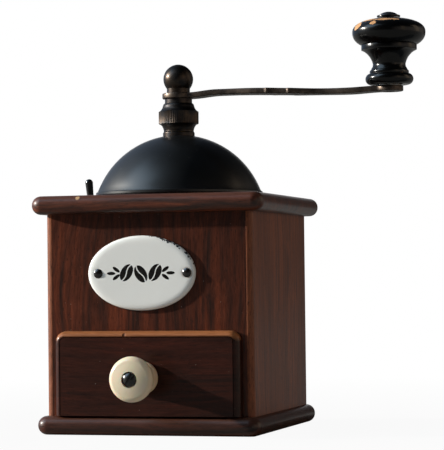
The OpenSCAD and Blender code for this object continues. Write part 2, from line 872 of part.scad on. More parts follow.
module drawer_knob() {
    rim = 3.4;
    rim_z = knob_len - 4.67;
    dish = knob_len - 2.3;
    color(ivory) at_drawer_knob() difference() {
        rotate_extrude() polygon(concat(
            [[0, 0], [8.3, 0]], arc(7.6, 1.4, 1.2, -40, 90, 6),
            arc(11.2, rim_z / 2, 6.6, 227, 133, 10),
            arc(knob_r - rim, rim_z, rim, -70, 77, 14),
            arc(0, knob_len - 40.25, 40, 76.5, 84, 6), [[4.2, dish], [0, dish]]
        ));
        translate([0, 0, -1]) cylinder(r = 2, h = knob_len + 2);
    }
}

module drawer_knob_screw() {
    color("black") at_drawer_knob() translate([0, 0, knob_len - 2.3]) difference() {
        union() {
            translate([0, 0, -knob_len + 2.3 - 5.5]) cylinder(r = 2, h = knob_len + 3.2);
            rotate_extrude() intersection() {
                translate([0, -3.4]) circle(6);
                square([3.9, 3]);
            }
        }
        translate([0, 0, 2.6]) rotate([0, 0, 52]) cube([12, 1.2, 2.4], center = true);
    }
}

base_board();
left_side();
right_side();
front_panel();
back_panel();
top_board();
base_screws();
drawer_guides();
name_plate();
name_plate_pins();
mill_casting();
casting_screws();
outer_burr();
lower_bearing_bar();
bearing_bar_screws();
bearing_bridge();
bridge_screws();
spindle_bush();
dome_cover();
dome_ring_nut();
lift_spring();
dome_shutter();
shutter_tab();
shutter_knob();
keyed_washer();
adjusting_nut();
spindle();
inner_burr();
burr_pin();
spring_seat();
crank_washer();
crank_arm();
ball_nut();
handle_screw();
handle_washer();
crank_handle();
drawer_front();
drawer_left_side();
drawer_right_side();
drawer_back();
drawer_bottom();
drawer_knob();
drawer_knob_screw();
drawer_nails();
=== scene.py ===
# %% [markdown]
# # Hand crank coffee grinder
# A box mill: a square case of stained beech with a drawer, a black dome over the funnel, and a steel crank
# that ends in a turned wooden handle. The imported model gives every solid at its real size. This lesson dresses
# it: the pieces that the eye meets are drawn again with softened edges and fine turning, the small and hidden
# ones keep their solids, and each surface gets a finish like the real one's.

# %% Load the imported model
import math

import bmesh
import bpy
from mathutils import Matrix, Vector


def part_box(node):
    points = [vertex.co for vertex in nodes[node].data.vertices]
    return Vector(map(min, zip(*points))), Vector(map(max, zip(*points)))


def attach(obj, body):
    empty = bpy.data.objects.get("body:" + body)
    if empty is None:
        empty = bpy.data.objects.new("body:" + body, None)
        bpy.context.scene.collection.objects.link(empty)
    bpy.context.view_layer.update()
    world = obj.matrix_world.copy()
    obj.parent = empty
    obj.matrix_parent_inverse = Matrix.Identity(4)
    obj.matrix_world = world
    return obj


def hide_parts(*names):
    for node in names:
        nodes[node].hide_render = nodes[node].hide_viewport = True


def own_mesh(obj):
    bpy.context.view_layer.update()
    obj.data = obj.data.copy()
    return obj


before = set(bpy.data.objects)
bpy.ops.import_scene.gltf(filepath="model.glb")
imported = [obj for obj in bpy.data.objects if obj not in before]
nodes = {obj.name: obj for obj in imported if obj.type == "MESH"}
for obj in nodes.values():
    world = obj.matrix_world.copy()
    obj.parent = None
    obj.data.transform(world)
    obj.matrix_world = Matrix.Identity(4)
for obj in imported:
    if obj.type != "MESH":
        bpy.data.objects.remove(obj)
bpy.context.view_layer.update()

# %% [markdown]
# ## Camera
# The grinder is seen from its right-hand front, from a little above the case's middle, through a long lens, so
# that upright lines stay upright. Writing the view as a place, a yaw, a pitch and a small roll keeps it easy to
# read, where a matrix of numbers would not.

# %% Set the camera
EYE = Vector((0.34876, -1.11106, 0.08232))
YAW_DEG = 16.27
PITCH_DEG = 1.486
ROLL_DEG = -0.643
LENS_MM = 167.08

camera_data = bpy.data.cameras.new("view")
camera_data.lens = LENS_MM
camera = bpy.data.objects.new("view", camera_data)
bpy.context.scene.collection.objects.link(camera)
turn = Matrix.Rotation(math.radians(YAW_DEG), 4, "Z") @ Matrix.Rotation(math.radians(90 + PITCH_DEG), 4, "X")
camera.matrix_world = Matrix.Translation(EYE) @ turn @ Matrix.Rotation(math.radians(ROLL_DEG), 4, "Z")
bpy.context.scene.camera = camera
view_direction = camera.matrix_world.to_3x3() @ Vector((0, 0, -1))
print("camera looks along", [round(x, 3) for x in view_direction])

# %% [markdown]
# ## Adding nodes
# Every finish below is a small network of shader nodes. One helper adds a node, sets its properties, fills its
# inputs and joins the ones that are given another node's output. Colours are written as the hex codes that a
# screen shows, and one function turns them into the linear values that Blender mixes. Two more steps come back
# in every finish, so they have helpers too: a colour is laid over another where a pattern is strong, and the
# finished colour, gloss and relief are joined to the shader.

# %% Colours and nodes
MM = 0.001


def linear(hex_code):
    """A screen colour such as '#41241b' as the linear colour that a shader takes."""
    channels = [int(hex_code[i:i + 2], 16) / 255 for i in (1, 3, 5)]
    return (*[c / 12.92 if c <= 0.04045 else ((c + 0.055) / 1.055) ** 2.4 for c in channels], 1.0)


def add(tree, kind, inputs=None, **settings):
    """Adds a node; inputs maps a socket's name or number to a value or to another node's output."""
    node = tree.nodes.new("ShaderNode" + kind)
    for key, value in settings.items():
        setattr(node, key, value)
    for key, value in (inputs or {}).items():
        if isinstance(value, bpy.types.NodeSocket):
            tree.links.new(value, node.inputs[key])
        else:
            node.inputs[key].default_value = value
    return node


def new_finish(name, colour, **shader_values):
    """A material with the Principled shader; returns its tree, the shader and the object coordinates."""
    finish = bpy.data.materials.new(name)
    finish.use_nodes = True
    finish.diffuse_color = linear(colour)
    tree = finish.node_tree
    shader = tree.nodes["Principled BSDF"]
    shader.inputs["Base Color"].default_value = linear(colour)
    for key, value in shader_values.items():
        shader.inputs[key.replace("_", " ").title().replace("Ior", "IOR")].default_value = value
    place = add(tree, "TexCoord").outputs["Object"]
    return finish, tree, shader, place


print("a walnut stain is", [round(c, 3) for c in linear("#41241b")[:3]], "in linear values")


# %% Layers of colour, and the joins to the shader
def lay_over(tree, under, over, pattern, start=0.0, full=1.0, most=1.0):
    """Lays one colour over another, from nothing where the pattern is at start to most where it is full."""
    share = add(tree, "MapRange", {"Value": pattern, "From Min": start, "From Max": full, "To Max": most})
    return add(tree, "Mix", {0: share.outputs[0], 6: under, 7: over}, data_type="RGBA").outputs[2]


def to_shader(tree, shader, colour, gloss=None, relief=None):
    """Joins a finish to its shader.

    gloss is a pattern, two of its values, and the roughness at each; relief is a pattern of heights, the strength
    of its bumps and how many millimetres they stand."""
    tree.links.new(colour, shader.inputs["Base Color"])
    if gloss:
        pattern, start, end, rough_first, rough_last = gloss
        rough = add(tree, "MapRange", {
            "Value": pattern, "From Min": start, "From Max": end, "To Min": rough_first, "To Max": rough_last})
        tree.links.new(rough.outputs[0], shader.inputs["Roughness"])
    if relief:
        heights, strength, stands_mm = relief
        bump = add(tree, "Bump", {"Height": heights, "Strength": strength, "Distance": stands_mm * MM})
        tree.links.new(bump.outputs[0], shader.inputs["Normal"])


# %% [markdown]
# ## Floor, backdrop and lamps
# A plain studio: a pale floor, a white backdrop behind the grinder and a dim room in front of it. One lamp
# stands low on the left like late sun, so it grazes the front and picks out every rounded edge. A tall cool
# window is painted high on the left, because a black dome shows its shape only by what it mirrors. A pale card
# on the right keeps that side from going black, and two narrow warm gaps there give the metal lines to mirror.
# Light Path shows the white backdrop to the camera, and to reflections that look straight behind the grinder,
# but to nothing else, so it sends no diffuse light.

# %% Set the lamp
LAMP_DIRECTION = Vector((4.3, 0.9, -1.5))
LAMP_STRENGTH = 6.3
LAMP_SOFTNESS_DEG = 1.6

lamp_data = bpy.data.lights.new("window_lamp", "SUN")
lamp_data.energy = LAMP_STRENGTH
lamp_data.color = linear("#fffaf0")[:3]
lamp_data.angle = math.radians(LAMP_SOFTNESS_DEG)
lamp = bpy.data.objects.new("window_lamp", lamp_data)
lamp.rotation_mode = "QUATERNION"
lamp.rotation_quaternion = LAMP_DIRECTION.to_track_quat("-Z", "Y")
bpy.context.scene.collection.objects.link(lamp)
print("lamp shines along", [round(x, 2) for x in LAMP_DIRECTION.normalized()])

# %% Openings in a room
SILL_BLUR = 0.08
HEAD_BLUR = 0.1

world = bpy.data.worlds.new("studio")
bpy.context.scene.world = world
world.use_nodes = True
air = world.node_tree
ray = add(air, "LightPath").outputs
towards = add(air, "TexCoord").outputs["Generated"]
height = add(air, "SeparateXYZ", {"Vector": towards}).outputs["Z"]


def towards_side(direction):
    """The cosine between a ray and a direction."""
    return add(air, "VectorMath", {0: towards, 1: Vector(direction).normalized()},
               operation="DOT_PRODUCT").outputs["Value"]


def inside(*limits):
    """How far a ray is inside soft limits: each is a value, where its share starts and where it is full."""
    share = 1.0
    for value, start, full in limits:
        edge = add(air, "MapRange", {"Value": value, "From Min": start, "From Max": full},
                   interpolation_type="SMOOTHSTEP").outputs["Result"]
        share = add(air, "Math", {0: share, 1: edge}, operation="MULTIPLY").outputs[0]
    return share


def upright_band(bearing_deg, half_width_deg, low, high):
    """A tall opening at one bearing from the grinder; low and high are sines of its elevations."""
    bearing = math.radians(bearing_deg)
    across = add(air, "VectorMath", {0: towards, 1: (-math.sin(bearing), math.cos(bearing), 0)},
                 operation="DOT_PRODUCT").outputs["Value"]
    off_centre = add(air, "Math", {0: across}, operation="ABSOLUTE").outputs[0]
    edge = math.sin(math.radians(half_width_deg))
    ahead = towards_side((math.cos(bearing), math.sin(bearing), 0))
    return inside((off_centre, 1.3 * edge, 0.7 * edge), (ahead, 0.0, 0.1),
                  (height, low - SILL_BLUR, low + SILL_BLUR), (height, high + HEAD_BLUR, high - HEAD_BLUR))


def lit_side(room, share, colour, level=1.0):
    """Paints one side of the room over what is there."""
    glow = (*[level * c for c in linear(colour)[:3]], 1.0)
    return add(air, "Mix", {0: share, 6: room, 7: glow}, data_type="RGBA").outputs[2]


# %% Paint the room
ROOM_EYE_LEVEL = "#29292b"
ROOM_ABOVE = "#24282d"
FAR_LEFT = "#8c9fb8"
CARD = "#d8ccc2"
WINDOW = "#b2cce2"
WINDOW_LEVEL = 4.8
WARM_GAP = "#ffe6c8"
LEFT_SIDE = (-1, 0.3, 0.2)
RIGHT_SIDE = (1, 0, 0)

room = lit_side(linear(ROOM_EYE_LEVEL), inside((height, 0.1, 0.9)), ROOM_ABOVE)
room = lit_side(room, inside((towards_side(LEFT_SIDE), 0.3, 1.0)), FAR_LEFT)
room = lit_side(room, inside((towards_side(RIGHT_SIDE), 0.2, 0.9), (height, 0.55, 0.2)), CARD, 0.75)
room = lit_side(room, upright_band(bearing_deg=22, half_width_deg=9, low=-0.05, high=0.6), WARM_GAP, 1.2)
room = lit_side(room, upright_band(bearing_deg=-32, half_width_deg=6, low=-0.05, high=0.5), WARM_GAP, 0.8)
room = lit_side(room, upright_band(bearing_deg=-152, half_width_deg=17, low=0.4, high=0.84), WINDOW, WINDOW_LEVEL)
reflected = add(air, "Math", {0: ray["Is Glossy Ray"], 1: ray["Is Transmission Ray"]}).outputs[0]
behind = inside((reflected, 0.0, 1.0), (towards_side(view_direction), 0.93, 0.98))
white_share = add(air, "Math", {0: behind, 1: ray["Is Camera Ray"]}, operation="MAXIMUM").outputs[0]
air.links.new(lit_side(room, white_share, "#ffffff"), air.nodes["Background"].inputs["Color"])
bpy.context.scene.view_settings.view_transform = "Standard"
print("the room is painted with", len(air.nodes), "nodes")

# %% [markdown]
# The floor is pale and matt. To the camera it is nearly all glow, and wholly so further out, which hides the
# line where it meets the backdrop and still leaves the grinder's own faint shadow.

# %% Lay the floor
FLOOR_SIDE = 8.0
FLOOR_DROP = 0.0002
GLOW_NEAR = 0.94
GLOW_NEAR_AT = 0.1
GLOW_FAR_AT = 0.6

paper, tree, shader, place = new_finish("pale_floor", "#8c8a86", roughness=0.9)
away = add(tree, "VectorMath", {0: place}, operation="LENGTH").outputs["Value"]
glow_here = add(tree, "MapRange", {
    "Value": away, "From Min": GLOW_NEAR_AT, "From Max": GLOW_FAR_AT, "To Min": GLOW_NEAR, "To Max": 1.0,
}).outputs["Result"]
glow = add(tree, "Emission", {"Color": (1, 1, 1, 1), "Strength": 1.0}).outputs[0]
seen = add(tree, "LightPath").outputs["Is Camera Ray"]
glow_share = add(tree, "Math", {0: seen, 1: glow_here}, operation="MULTIPLY").outputs[0]
blend = add(tree, "MixShader", {0: glow_share, 1: shader.outputs[0], 2: glow}).outputs[0]
tree.links.new(blend, tree.nodes["Material Output"].inputs["Surface"])

bm = bmesh.new()
bmesh.ops.create_grid(bm, x_segments=1, y_segments=1, size=FLOOR_SIDE / 2)
bmesh.ops.translate(bm, vec=(0, 0, -FLOOR_DROP), verts=bm.verts)
floor_mesh = bpy.data.meshes.new("floor")
bm.to_mesh(floor_mesh)
bm.free()
floor = bpy.data.objects.new("floor", floor_mesh)
floor_mesh.materials.append(paper)
bpy.context.scene.collection.objects.link(floor)
print("the floor is", FLOOR_SIDE, "m wide")

# %% [markdown]
# ## Stained beech
# The case is beech, planed, stained to walnut with a water stain, and rubbed with shellac. Wood could be an
# image, but a pattern in the object's own space runs round the edges and gives end grain for nothing.
# Stretched noise in several sizes makes it: broad streaks where the stain soaked in, fibres, short dark pores.
# Real fibres and pores are under 0.1 mm wide, too fine to show, so they are drawn at 0.7 mm and at 0.5 mm.

# %% Patterns drawn out along the grain
def along(axis, length_mm, width_mm):
    """Mapping scale that stretches a pattern to length along the grain and width across it."""
    return tuple(1 / (MM * (length_mm if name == axis else width_mm)) for name in "XYZ")


def figure(tree, place, grain, size_mm, seed, **look):
    """Noise drawn out along the grain; size_mm is its length along the grain and its width across it."""
    drawn_out = add(tree, "Mapping", {"Vector": place, "Scale": along(grain, *size_mm)}).outputs[0]
    return add(tree, "TexNoise", {"Vector": drawn_out, "W": seed, "Scale": 1.0, **look},
               noise_dimensions="4D").outputs["Fac"]


# %% Stained beech
# Sizes are millimetres: length along the grain, then width across it.
DRIFT_SIZE = (75, 38)
GRAIN_DRIFT = 14.0
STREAK_LENGTH = 170
SOAK_SIZE = (80, 26)
FIBRE_SIZE = (8, 0.7)
PORE_SIZE = (2.6, 0.5)
DUST_GAP = 3.1
DARKER_RIGHT_REACH = 45
KNOCK_R = 2.0
KNOCK_RAGGED = 1.2
KNOCK_EDGE = 0.4


def stained_beech(name, grain, seed, deep, warm, streak_mm, contrast, worn="#4e2f22", paler_up_lean=(0.3, 0.8),
                  gloss=0.34, shine=0.22, polish=0.12, darker_right=0.2, knock=None):
    """Walnut-stained beech under shellac: red-brown streaks, silky, and paler on what faces up.

    worn is that paler colour: partly where hands have rubbed the upper edges, partly painted light from above.
    A pair of upward leans sets where it starts and where it is full; another value is how much darker the
    right-hand end is; knock is a point in millimetres where the wood is bare."""
    finish, tree, shader, place = new_finish(
        name, deep, roughness=gloss, specular_ior_level=shine, coat_weight=polish, coat_roughness=0.19)
    # Bend the grain a little, so that no streak runs dead straight.
    drift = add(tree, "Mapping", {
        "Vector": place, "Scale": along(grain, *DRIFT_SIZE), "Location": (seed, seed, seed)})
    drifts = add(tree, "TexNoise", {"Vector": drift.outputs[0], "Scale": 1.0, "Detail": 1.0}).outputs["Color"]
    centred = add(tree, "VectorMath", {0: drifts, 1: (0.5, 0.5, 0.5)}, operation="SUBTRACT").outputs[0]
    bend = add(tree, "VectorMath", {0: centred, "Scale": GRAIN_DRIFT * MM}, operation="SCALE").outputs[0]
    bent = add(tree, "VectorMath", {0: place, 1: bend}).outputs[0]
    # Streaks first, then darker clouds where more stain soaked in.
    streaks = figure(tree, bent, grain, (STREAK_LENGTH, streak_mm), seed, Detail=4.0, Roughness=0.62)
    soaked = figure(tree, bent, grain, SOAK_SIZE, seed + 3.7)
    fibres = figure(tree, bent, grain, FIBRE_SIZE, seed + 7.1, Roughness=0.65)
    pores = figure(tree, bent, grain, PORE_SIZE, seed + 11.3, Detail=1.0)
    wood = lay_over(tree, linear(deep), linear(warm), streaks, 0.5 - contrast, 0.5 + contrast)
    wood = lay_over(tree, wood, linear(deep), soaked, 0.4, 0.7, 0.6)
    # Fibres lighten and darken it, and it darkens towards the right.
    from_left = add(tree, "SeparateXYZ", {"Vector": place}).outputs["X"]
    fibre_light = add(tree, "MapRange", {
        "Value": fibres, "From Min": 0.3, "From Max": 0.7, "To Min": 0.7, "To Max": 1.32}).outputs[0]
    right_darkening = add(tree, "MapRange", {
        "Value": from_left, "From Min": -DARKER_RIGHT_REACH * MM, "From Max": DARKER_RIGHT_REACH * MM,
        "To Min": 1 + 0.3 * darker_right, "To Max": 1 - darker_right}).outputs[0]
    light = add(tree, "Math", {0: fibre_light, 1: right_darkening}, operation="MULTIPLY").outputs[0]
    wood = add(tree, "VectorMath", {0: wood, "Scale": light}, operation="SCALE").outputs[0]
    # Short open pores are nearly black, and a few specks of dust are pale.
    open_pores = add(tree, "MapRange", {
        "Value": pores, "From Min": 0.6, "From Max": 0.72, "To Max": 0.6}).outputs[0]
    wood = lay_over(tree, wood, linear("#150b08"), open_pores)
    grains = add(tree, "TexVoronoi", {"Vector": place, "Scale": 1 / (DUST_GAP * MM)})
    small = add(tree, "Math", {0: grains.outputs["Distance"], 1: 0.07}, operation="LESS_THAN").outputs[0]
    pick = add(tree, "SeparateColor", {"Color": grains.outputs["Color"]}).outputs[0]
    dust = add(tree, "Math", {0: small, 1: pick}, operation="MULTIPLY").outputs[0]
    wood = lay_over(tree, wood, linear("#b0a090"), dust, 0.7, 0.95, 0.45)
    # What faces up turns paler, partly rubbed by hands and partly painted light from above.
    # One knock has bared the wood.
    facing = add(tree, "NewGeometry").outputs["Normal"]
    upwards = add(tree, "SeparateXYZ", {"Vector": facing}).outputs["Z"]
    paler_most = add(tree, "MapRange", {
        "Value": fibres, "From Min": 0.2, "From Max": 0.6, "To Min": 0.45, "To Max": 0.8}).outputs[0]
    wood = lay_over(tree, wood, linear(worn), upwards, *paler_up_lean, paler_most)
    if knock:
        from_knock = add(tree, "VectorMath", {0: place, 1: [MM * c for c in knock]}, operation="DISTANCE")
        ragged = add(tree, "Math", {0: fibres, 1: KNOCK_RAGGED * MM, 2: from_knock.outputs["Value"]},
                     operation="MULTIPLY_ADD").outputs[0]
        wood = lay_over(tree, wood, linear("#c09a70"), ragged, KNOCK_R * MM, (KNOCK_R - KNOCK_EDGE) * MM)
    grain_relief = add(tree, "Math", {0: fibres, 1: open_pores}, operation="SUBTRACT").outputs[0]
    to_shader(tree, shader, wood, (fibres, 0.2, 0.8, gloss - 0.06, gloss + 0.1), (grain_relief, 0.35, 0.06))
    return finish


# %% Stain the boards
beech_across = stained_beech("stained_beech_grain_across", "X", 1.3, "#341a10", "#76381e", 3.2, 0.14,
                             gloss=0.4, shine=0.34, polish=0.2, knock=(-37.2, -63.4, 126.6))
beech_base = stained_beech("stained_beech_base_board", "X", 3.9, "#25110a", "#502413", 3.2, 0.14,
                           gloss=0.4, shine=0.34, polish=0.2, darker_right=0.05)
beech_upright = stained_beech("stained_beech_grain_upright", "Z", 5.8, "#2b150d", "#6c311a", 3.0, 0.16)
# The side boards take a lighter stain than the front: partly painted light, for the side turned from the lamp.
beech_sides = stained_beech("stained_beech_side_boards", "Z", 9.4, "#5c3423", "#935232", 2.6, 0.18,
                            gloss=0.45, shine=0.2, darker_right=0.0)
# The drawer front is paler where it faces up, on its moulding: partly wear, partly painted light from above.
beech_drawer = stained_beech("stained_beech_drawer_front", "X", 14.6, "#240f08", "#451c10", 2.6, 0.15,
                             worn="#a86a40", paler_up_lean=(0.06, 0.4), shine=0.18)
print("stained:", [m.name for m in bpy.data.materials if m.name.startswith("stained")])

# %% [markdown]
# ## Bare beech
# The drawer's box and its guides are never stained, but coffee oil and age have browned them. Planed beech is
# dull, with the small dark flecks that mark the timber. The stained finish could be given a pale colour, but
# its streaks and shellac belong to the case, so two sizes of the same drawn-out noise are enough here.

# %% Bare beech
BAND_SIZE = (90, 7)
FLECK_SIZE = (2.6, 0.45)


def bare_beech(name, grain, seed):
    """Planed beech without any finish: tan with age, matt, flecked."""
    finish, tree, shader, place = new_finish(name, "#ab8259", roughness=0.68)
    bands = figure(tree, place, grain, BAND_SIZE, seed, Detail=3.0)
    flecks = figure(tree, place, grain, FLECK_SIZE, seed + 2, Detail=1.0)
    timber = lay_over(tree, linear("#966b45"), linear("#b8925f"), bands, 0.35, 0.65)
    timber = lay_over(tree, timber, linear("#6b4529"), flecks, 0.62, 0.72, 0.55)
    to_shader(tree, shader, timber, relief=(bands, 0.3, 0.08))
    return finish


beech_tray_side = bare_beech("bare_beech_grain_deep", "Y", 2.2)
beech_tray_across = bare_beech("bare_beech_grain_across", "X", 6.1)
print("bare:", beech_tray_side.name, beech_tray_across.name)

# %% [markdown]
# ## Black-finished metals
# The dome is spun steel sheet under satin black stoving enamel: blue-black, with a broad soft highlight and a
# few grains of dust. The crank, its nuts and its washers are steel blackened in hot oil: warmer, mottled with
# brown where hands have rubbed it. Both could share one black, but their highlights would then look alike.

# %% Stoving enamel on the dome
ENAMEL_MOTTLE = 14
ENAMEL_DUST_GAP = 2.6
ORANGE_PEEL = 1.1


def stoved_enamel():
    """Satin black enamel on sheet steel, sprinkled with pale dust."""
    finish, tree, shader, place = new_finish(
        "satin_black_stoving_enamel", "#0a0d10", roughness=0.4, specular_ior_level=0.48,
        coat_weight=0.15, coat_roughness=0.22)
    mottle = add(tree, "TexNoise", {
        "Vector": place, "Scale": 1 / (ENAMEL_MOTTLE * MM), "Detail": 4.0}).outputs["Fac"]
    black = lay_over(tree, linear("#040506"), linear("#080a0c"), mottle, 0.35, 0.7)
    grains = add(tree, "TexVoronoi", {"Vector": place, "Scale": 1 / (ENAMEL_DUST_GAP * MM)})
    small = add(tree, "Math", {0: grains.outputs["Distance"], 1: 0.075}, operation="LESS_THAN").outputs[0]
    pick = add(tree, "SeparateColor", {"Color": grains.outputs["Color"]}).outputs[0]
    rare = add(tree, "Math", {0: pick, 1: 0.8}, operation="GREATER_THAN").outputs[0]
    dust = add(tree, "Math", {0: small, 1: rare}, operation="MULTIPLY").outputs[0]
    dusty = lay_over(tree, black, linear("#6d6f70"), dust)
    peel = add(tree, "TexNoise", {
        "Vector": place, "Scale": 1 / (ORANGE_PEEL * MM), "Detail": 2.0}).outputs["Fac"]
    to_shader(tree, shader, dusty, (mottle, 0.0, 1.0, 0.33, 0.45), (peel, 0.12, 0.03))
    return finish


# %% Oil-blackened steel
RUB_PATCH = 5


def oiled_steel(name, dark, rubbed, roughness, grit_mm):
    """Steel blackened in hot oil: dark metal, browner and brighter where it is rubbed."""
    finish, tree, shader, place = new_finish(name, dark, metallic=1.0, roughness=roughness)
    patches = add(tree, "TexNoise", {
        "Vector": place, "Scale": 1 / (RUB_PATCH * MM), "Detail": 5.0}).outputs["Fac"]
    metal = lay_over(tree, linear(dark), linear(rubbed), patches, 0.42, 0.68)
    grit = add(tree, "TexNoise", {"Vector": place, "Scale": 1 / (grit_mm * MM), "Detail": 3.0}).outputs["Fac"]
    to_shader(tree, shader, metal, (patches, 0.3, 0.7, roughness + 0.07, roughness - 0.07), (grit, 0.4, 0.05))
    return finish


dome_black = stoved_enamel()
nut_steel = oiled_steel("oil_blackened_turned_steel", "#2d2c2d", "#463c34", 0.4, 0.6)
arm_steel = oiled_steel("oil_blackened_forged_steel", "#3f3834", "#6b5f55", 0.46, 0.45)
print("blackened:", dome_black.name, nut_steel.name, arm_steel.name)

# %% [markdown]
# ## Bright metals inside
# The funnel, the burrs and the lower bearing bar are grey cast iron straight from the foundry, coarse and dull.
# The bridge, spring, screws and spindle are plain drawn steel, and the bush is brass. They lie in shade, behind
# the filling window and above the drawer. Only colour, grain and gloss differ, so one function makes all three.

# %% Bare metals
def bare_metal(name, low, high, roughness, grain_mm, relief_mm):
    """An unpainted metal with a mottle of grain_mm and a surface relief of relief_mm."""
    finish, tree, shader, place = new_finish(name, low, metallic=1.0, roughness=roughness)
    grain = add(tree, "TexNoise", {"Vector": place, "Scale": 1 / (grain_mm * MM), "Detail": 4.0}).outputs["Fac"]
    metal = lay_over(tree, linear(low), linear(high), grain, 0.35, 0.65)
    to_shader(tree, shader, metal, (grain, 0.0, 1.0, roughness - 0.1, roughness + 0.1), (grain, 0.5, relief_mm))
    return finish


grey_iron = bare_metal("sand_cast_grey_iron", "#4b4a49", "#6a6865", 0.6, 0.9, 0.12)
drawn_steel = bare_metal("plain_drawn_steel", "#8c8b88", "#a9a8a4", 0.32, 1.6, 0.01)
bush_brass = bare_metal("turned_brass", "#b08d4a", "#cfae68", 0.28, 2.5, 0.008)
print("bare metals:", grey_iron.name, drawn_steel.name, bush_brass.name)

# %% [markdown]
# ## Chipped black lacquer
# The handle is turned beech under glossy black lacquer. Years of hands have chipped it: bare tan wood shows
# on the shoulder and round the top of the crown, with a brown rim where the ground coat still holds. A painted
# mask would need the handle unwrapped. Here chips are a threshold of noise, and where they may appear is a set
# of soft spots, each a middle and a reach in millimetres, counted from the foot of the handle's own axis.

# %% Lacquer with chips
CHIP_GRAIN = 4.2
WEAR_SPOTS = (
    ((-14.4, -11.5, 31.2), (5.5, 9, 5)),
    ((-8.5, -11.5, 34.5), (8, 8, 2.4)),
    ((0.5, -15.2, 34.2), (10, 6, 2.0)),
    ((6.5, -14.2, 34.0), (6, 5, 1.8)),
    ((-5.0, -17.6, 32.1), (3.6, 5, 2.6)),
    ((6.0, 10, 35.2), (10, 10, 2.4)),
    ((15.0, 9, 31.0), (6, 9, 5)),
    ((7.5, -6, 4.5), (5, 4, 3.5)),
)


def box_mm(node):
    """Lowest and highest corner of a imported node, in millimetres."""
    low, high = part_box(node)
    return low / MM, high / MM


handle_low, handle_high = box_mm("crank_handle")
handle_x = (handle_low.x + handle_high.x) / 2


def chipped_lacquer():
    """Gloss black lacquer that has chipped to bare beech where hands wear it."""
    finish, tree, shader, place = new_finish(
        "chipped_black_lacquer", "#040404", roughness=0.24, specular_ior_level=0.2,
        coat_weight=0.2, coat_roughness=0.12)
    centred = add(tree, "Mapping", {
        "Vector": place, "Location": (-handle_x * MM, 0, -handle_low.z * MM)}).outputs[0]
    ragged = add(tree, "TexNoise", {
        "Vector": centred, "Scale": 1 / (CHIP_GRAIN * MM), "Detail": 6.0, "Roughness": 0.62}).outputs["Fac"]

    def worn(middle, reach):
        """1 at the middle of a spot of wear, falling to 0 at its reach along each axis."""
        offset = add(tree, "VectorMath", {0: centred, 1: [MM * c for c in middle]}, operation="SUBTRACT")
        away = add(tree, "VectorMath", {0: offset.outputs[0]}, operation="ABSOLUTE").outputs[0]
        spread = add(tree, "VectorMath", {0: away, 1: [MM * r for r in reach]}, operation="DIVIDE").outputs[0]
        left = add(tree, "VectorMath", {0: (1, 1, 1), 1: spread}, operation="SUBTRACT").outputs[0]
        kept = add(tree, "VectorMath", {0: left, 1: (0, 0, 0)}, operation="MAXIMUM").outputs[0]
        x, y, z = add(tree, "SeparateXYZ", {"Vector": kept}).outputs
        flat = add(tree, "Math", {0: x, 1: y}, operation="MULTIPLY").outputs[0]
        return add(tree, "Math", {0: flat, 1: z}, operation="MULTIPLY").outputs[0]

    # The strongest spot counts; times the noise, it is chipped where it passes a threshold.
    wear = 0.0
    for middle, reach in WEAR_SPOTS:
        wear = add(tree, "Math", {0: wear, 1: worn(middle, reach)}, operation="MAXIMUM").outputs[0]
    level = add(tree, "Math", {0: wear, 1: ragged}, operation="MULTIPLY").outputs[0]
    chip = add(tree, "MapRange", {"Value": level, "From Min": 0.2, "From Max": 0.215}).outputs[0]
    # Wood shows in a chip, and a brown rim of ground coat round it.
    grain = add(tree, "Mapping", {"Vector": place, "Scale": along("Z", 9, 0.6)})
    fibre = add(tree, "TexNoise", {"Vector": grain.outputs[0], "Scale": 1.0, "Detail": 2.0}).outputs["Fac"]
    wood = lay_over(tree, linear("#9a6b43"), linear("#d9a877"), fibre)
    black = lay_over(tree, linear("#040404"), linear("#2a1a12"), level, 0.18, 0.2)
    colour = lay_over(tree, black, wood, chip)
    thickness = add(tree, "Math", {0: 1.0, 1: chip}, operation="SUBTRACT").outputs[0]
    to_shader(tree, shader, colour, (chip, 0.0, 1.0, 0.24, 0.7), (thickness, 0.6, 0.12))
    return finish


handle_lacquer = chipped_lacquer()
print(len(WEAR_SPOTS), "worn spots on the handle")


# %% Plain gloss black
HAZE = 2


def gloss_black():
    """Thick gloss black with a faint brown cast, for screw heads, pins, the peg and the plate's motif."""
    finish, tree, shader, place = new_finish("gloss_black_japan", "#0b0a0a", roughness=0.2, coat_weight=0.3)
    haze = add(tree, "TexNoise", {"Vector": place, "Scale": 1 / (HAZE * MM), "Detail": 4.0}).outputs["Fac"]
    tint = lay_over(tree, linear("#060606"), linear("#17120f"), haze)
    to_shader(tree, shader, tint, (haze, 0.0, 1.0, 0.12, 0.34))
    return finish


japan_black = gloss_black()
print("glossy:", handle_lacquer.name, japan_black.name)

# %% [markdown]
# ## Porcelain and enamel
# The knob is glazed porcelain gone ivory with age: warm, glossy, browner towards its foot. The name plate is
# sheet steel under white vitreous enamel, glassy and even, which chips dark at its rim and lets rust through at
# a pin. Both are pale and glossy, but porcelain lets light into it and enamel does not.

# %% Aged ivory glaze
knob_low, knob_high = box_mm("drawer_knob")
knob_x = (knob_low.x + knob_high.x) / 2
knob_z = (knob_low.z + knob_high.z) / 2
knob_length = knob_high.y - knob_low.y
GLAZE_CLOUD = 6
FOOT_STAIN_FROM, FOOT_STAIN_TO = -0.85 * knob_length, -2
RIGHT_BROWN_TO = 13


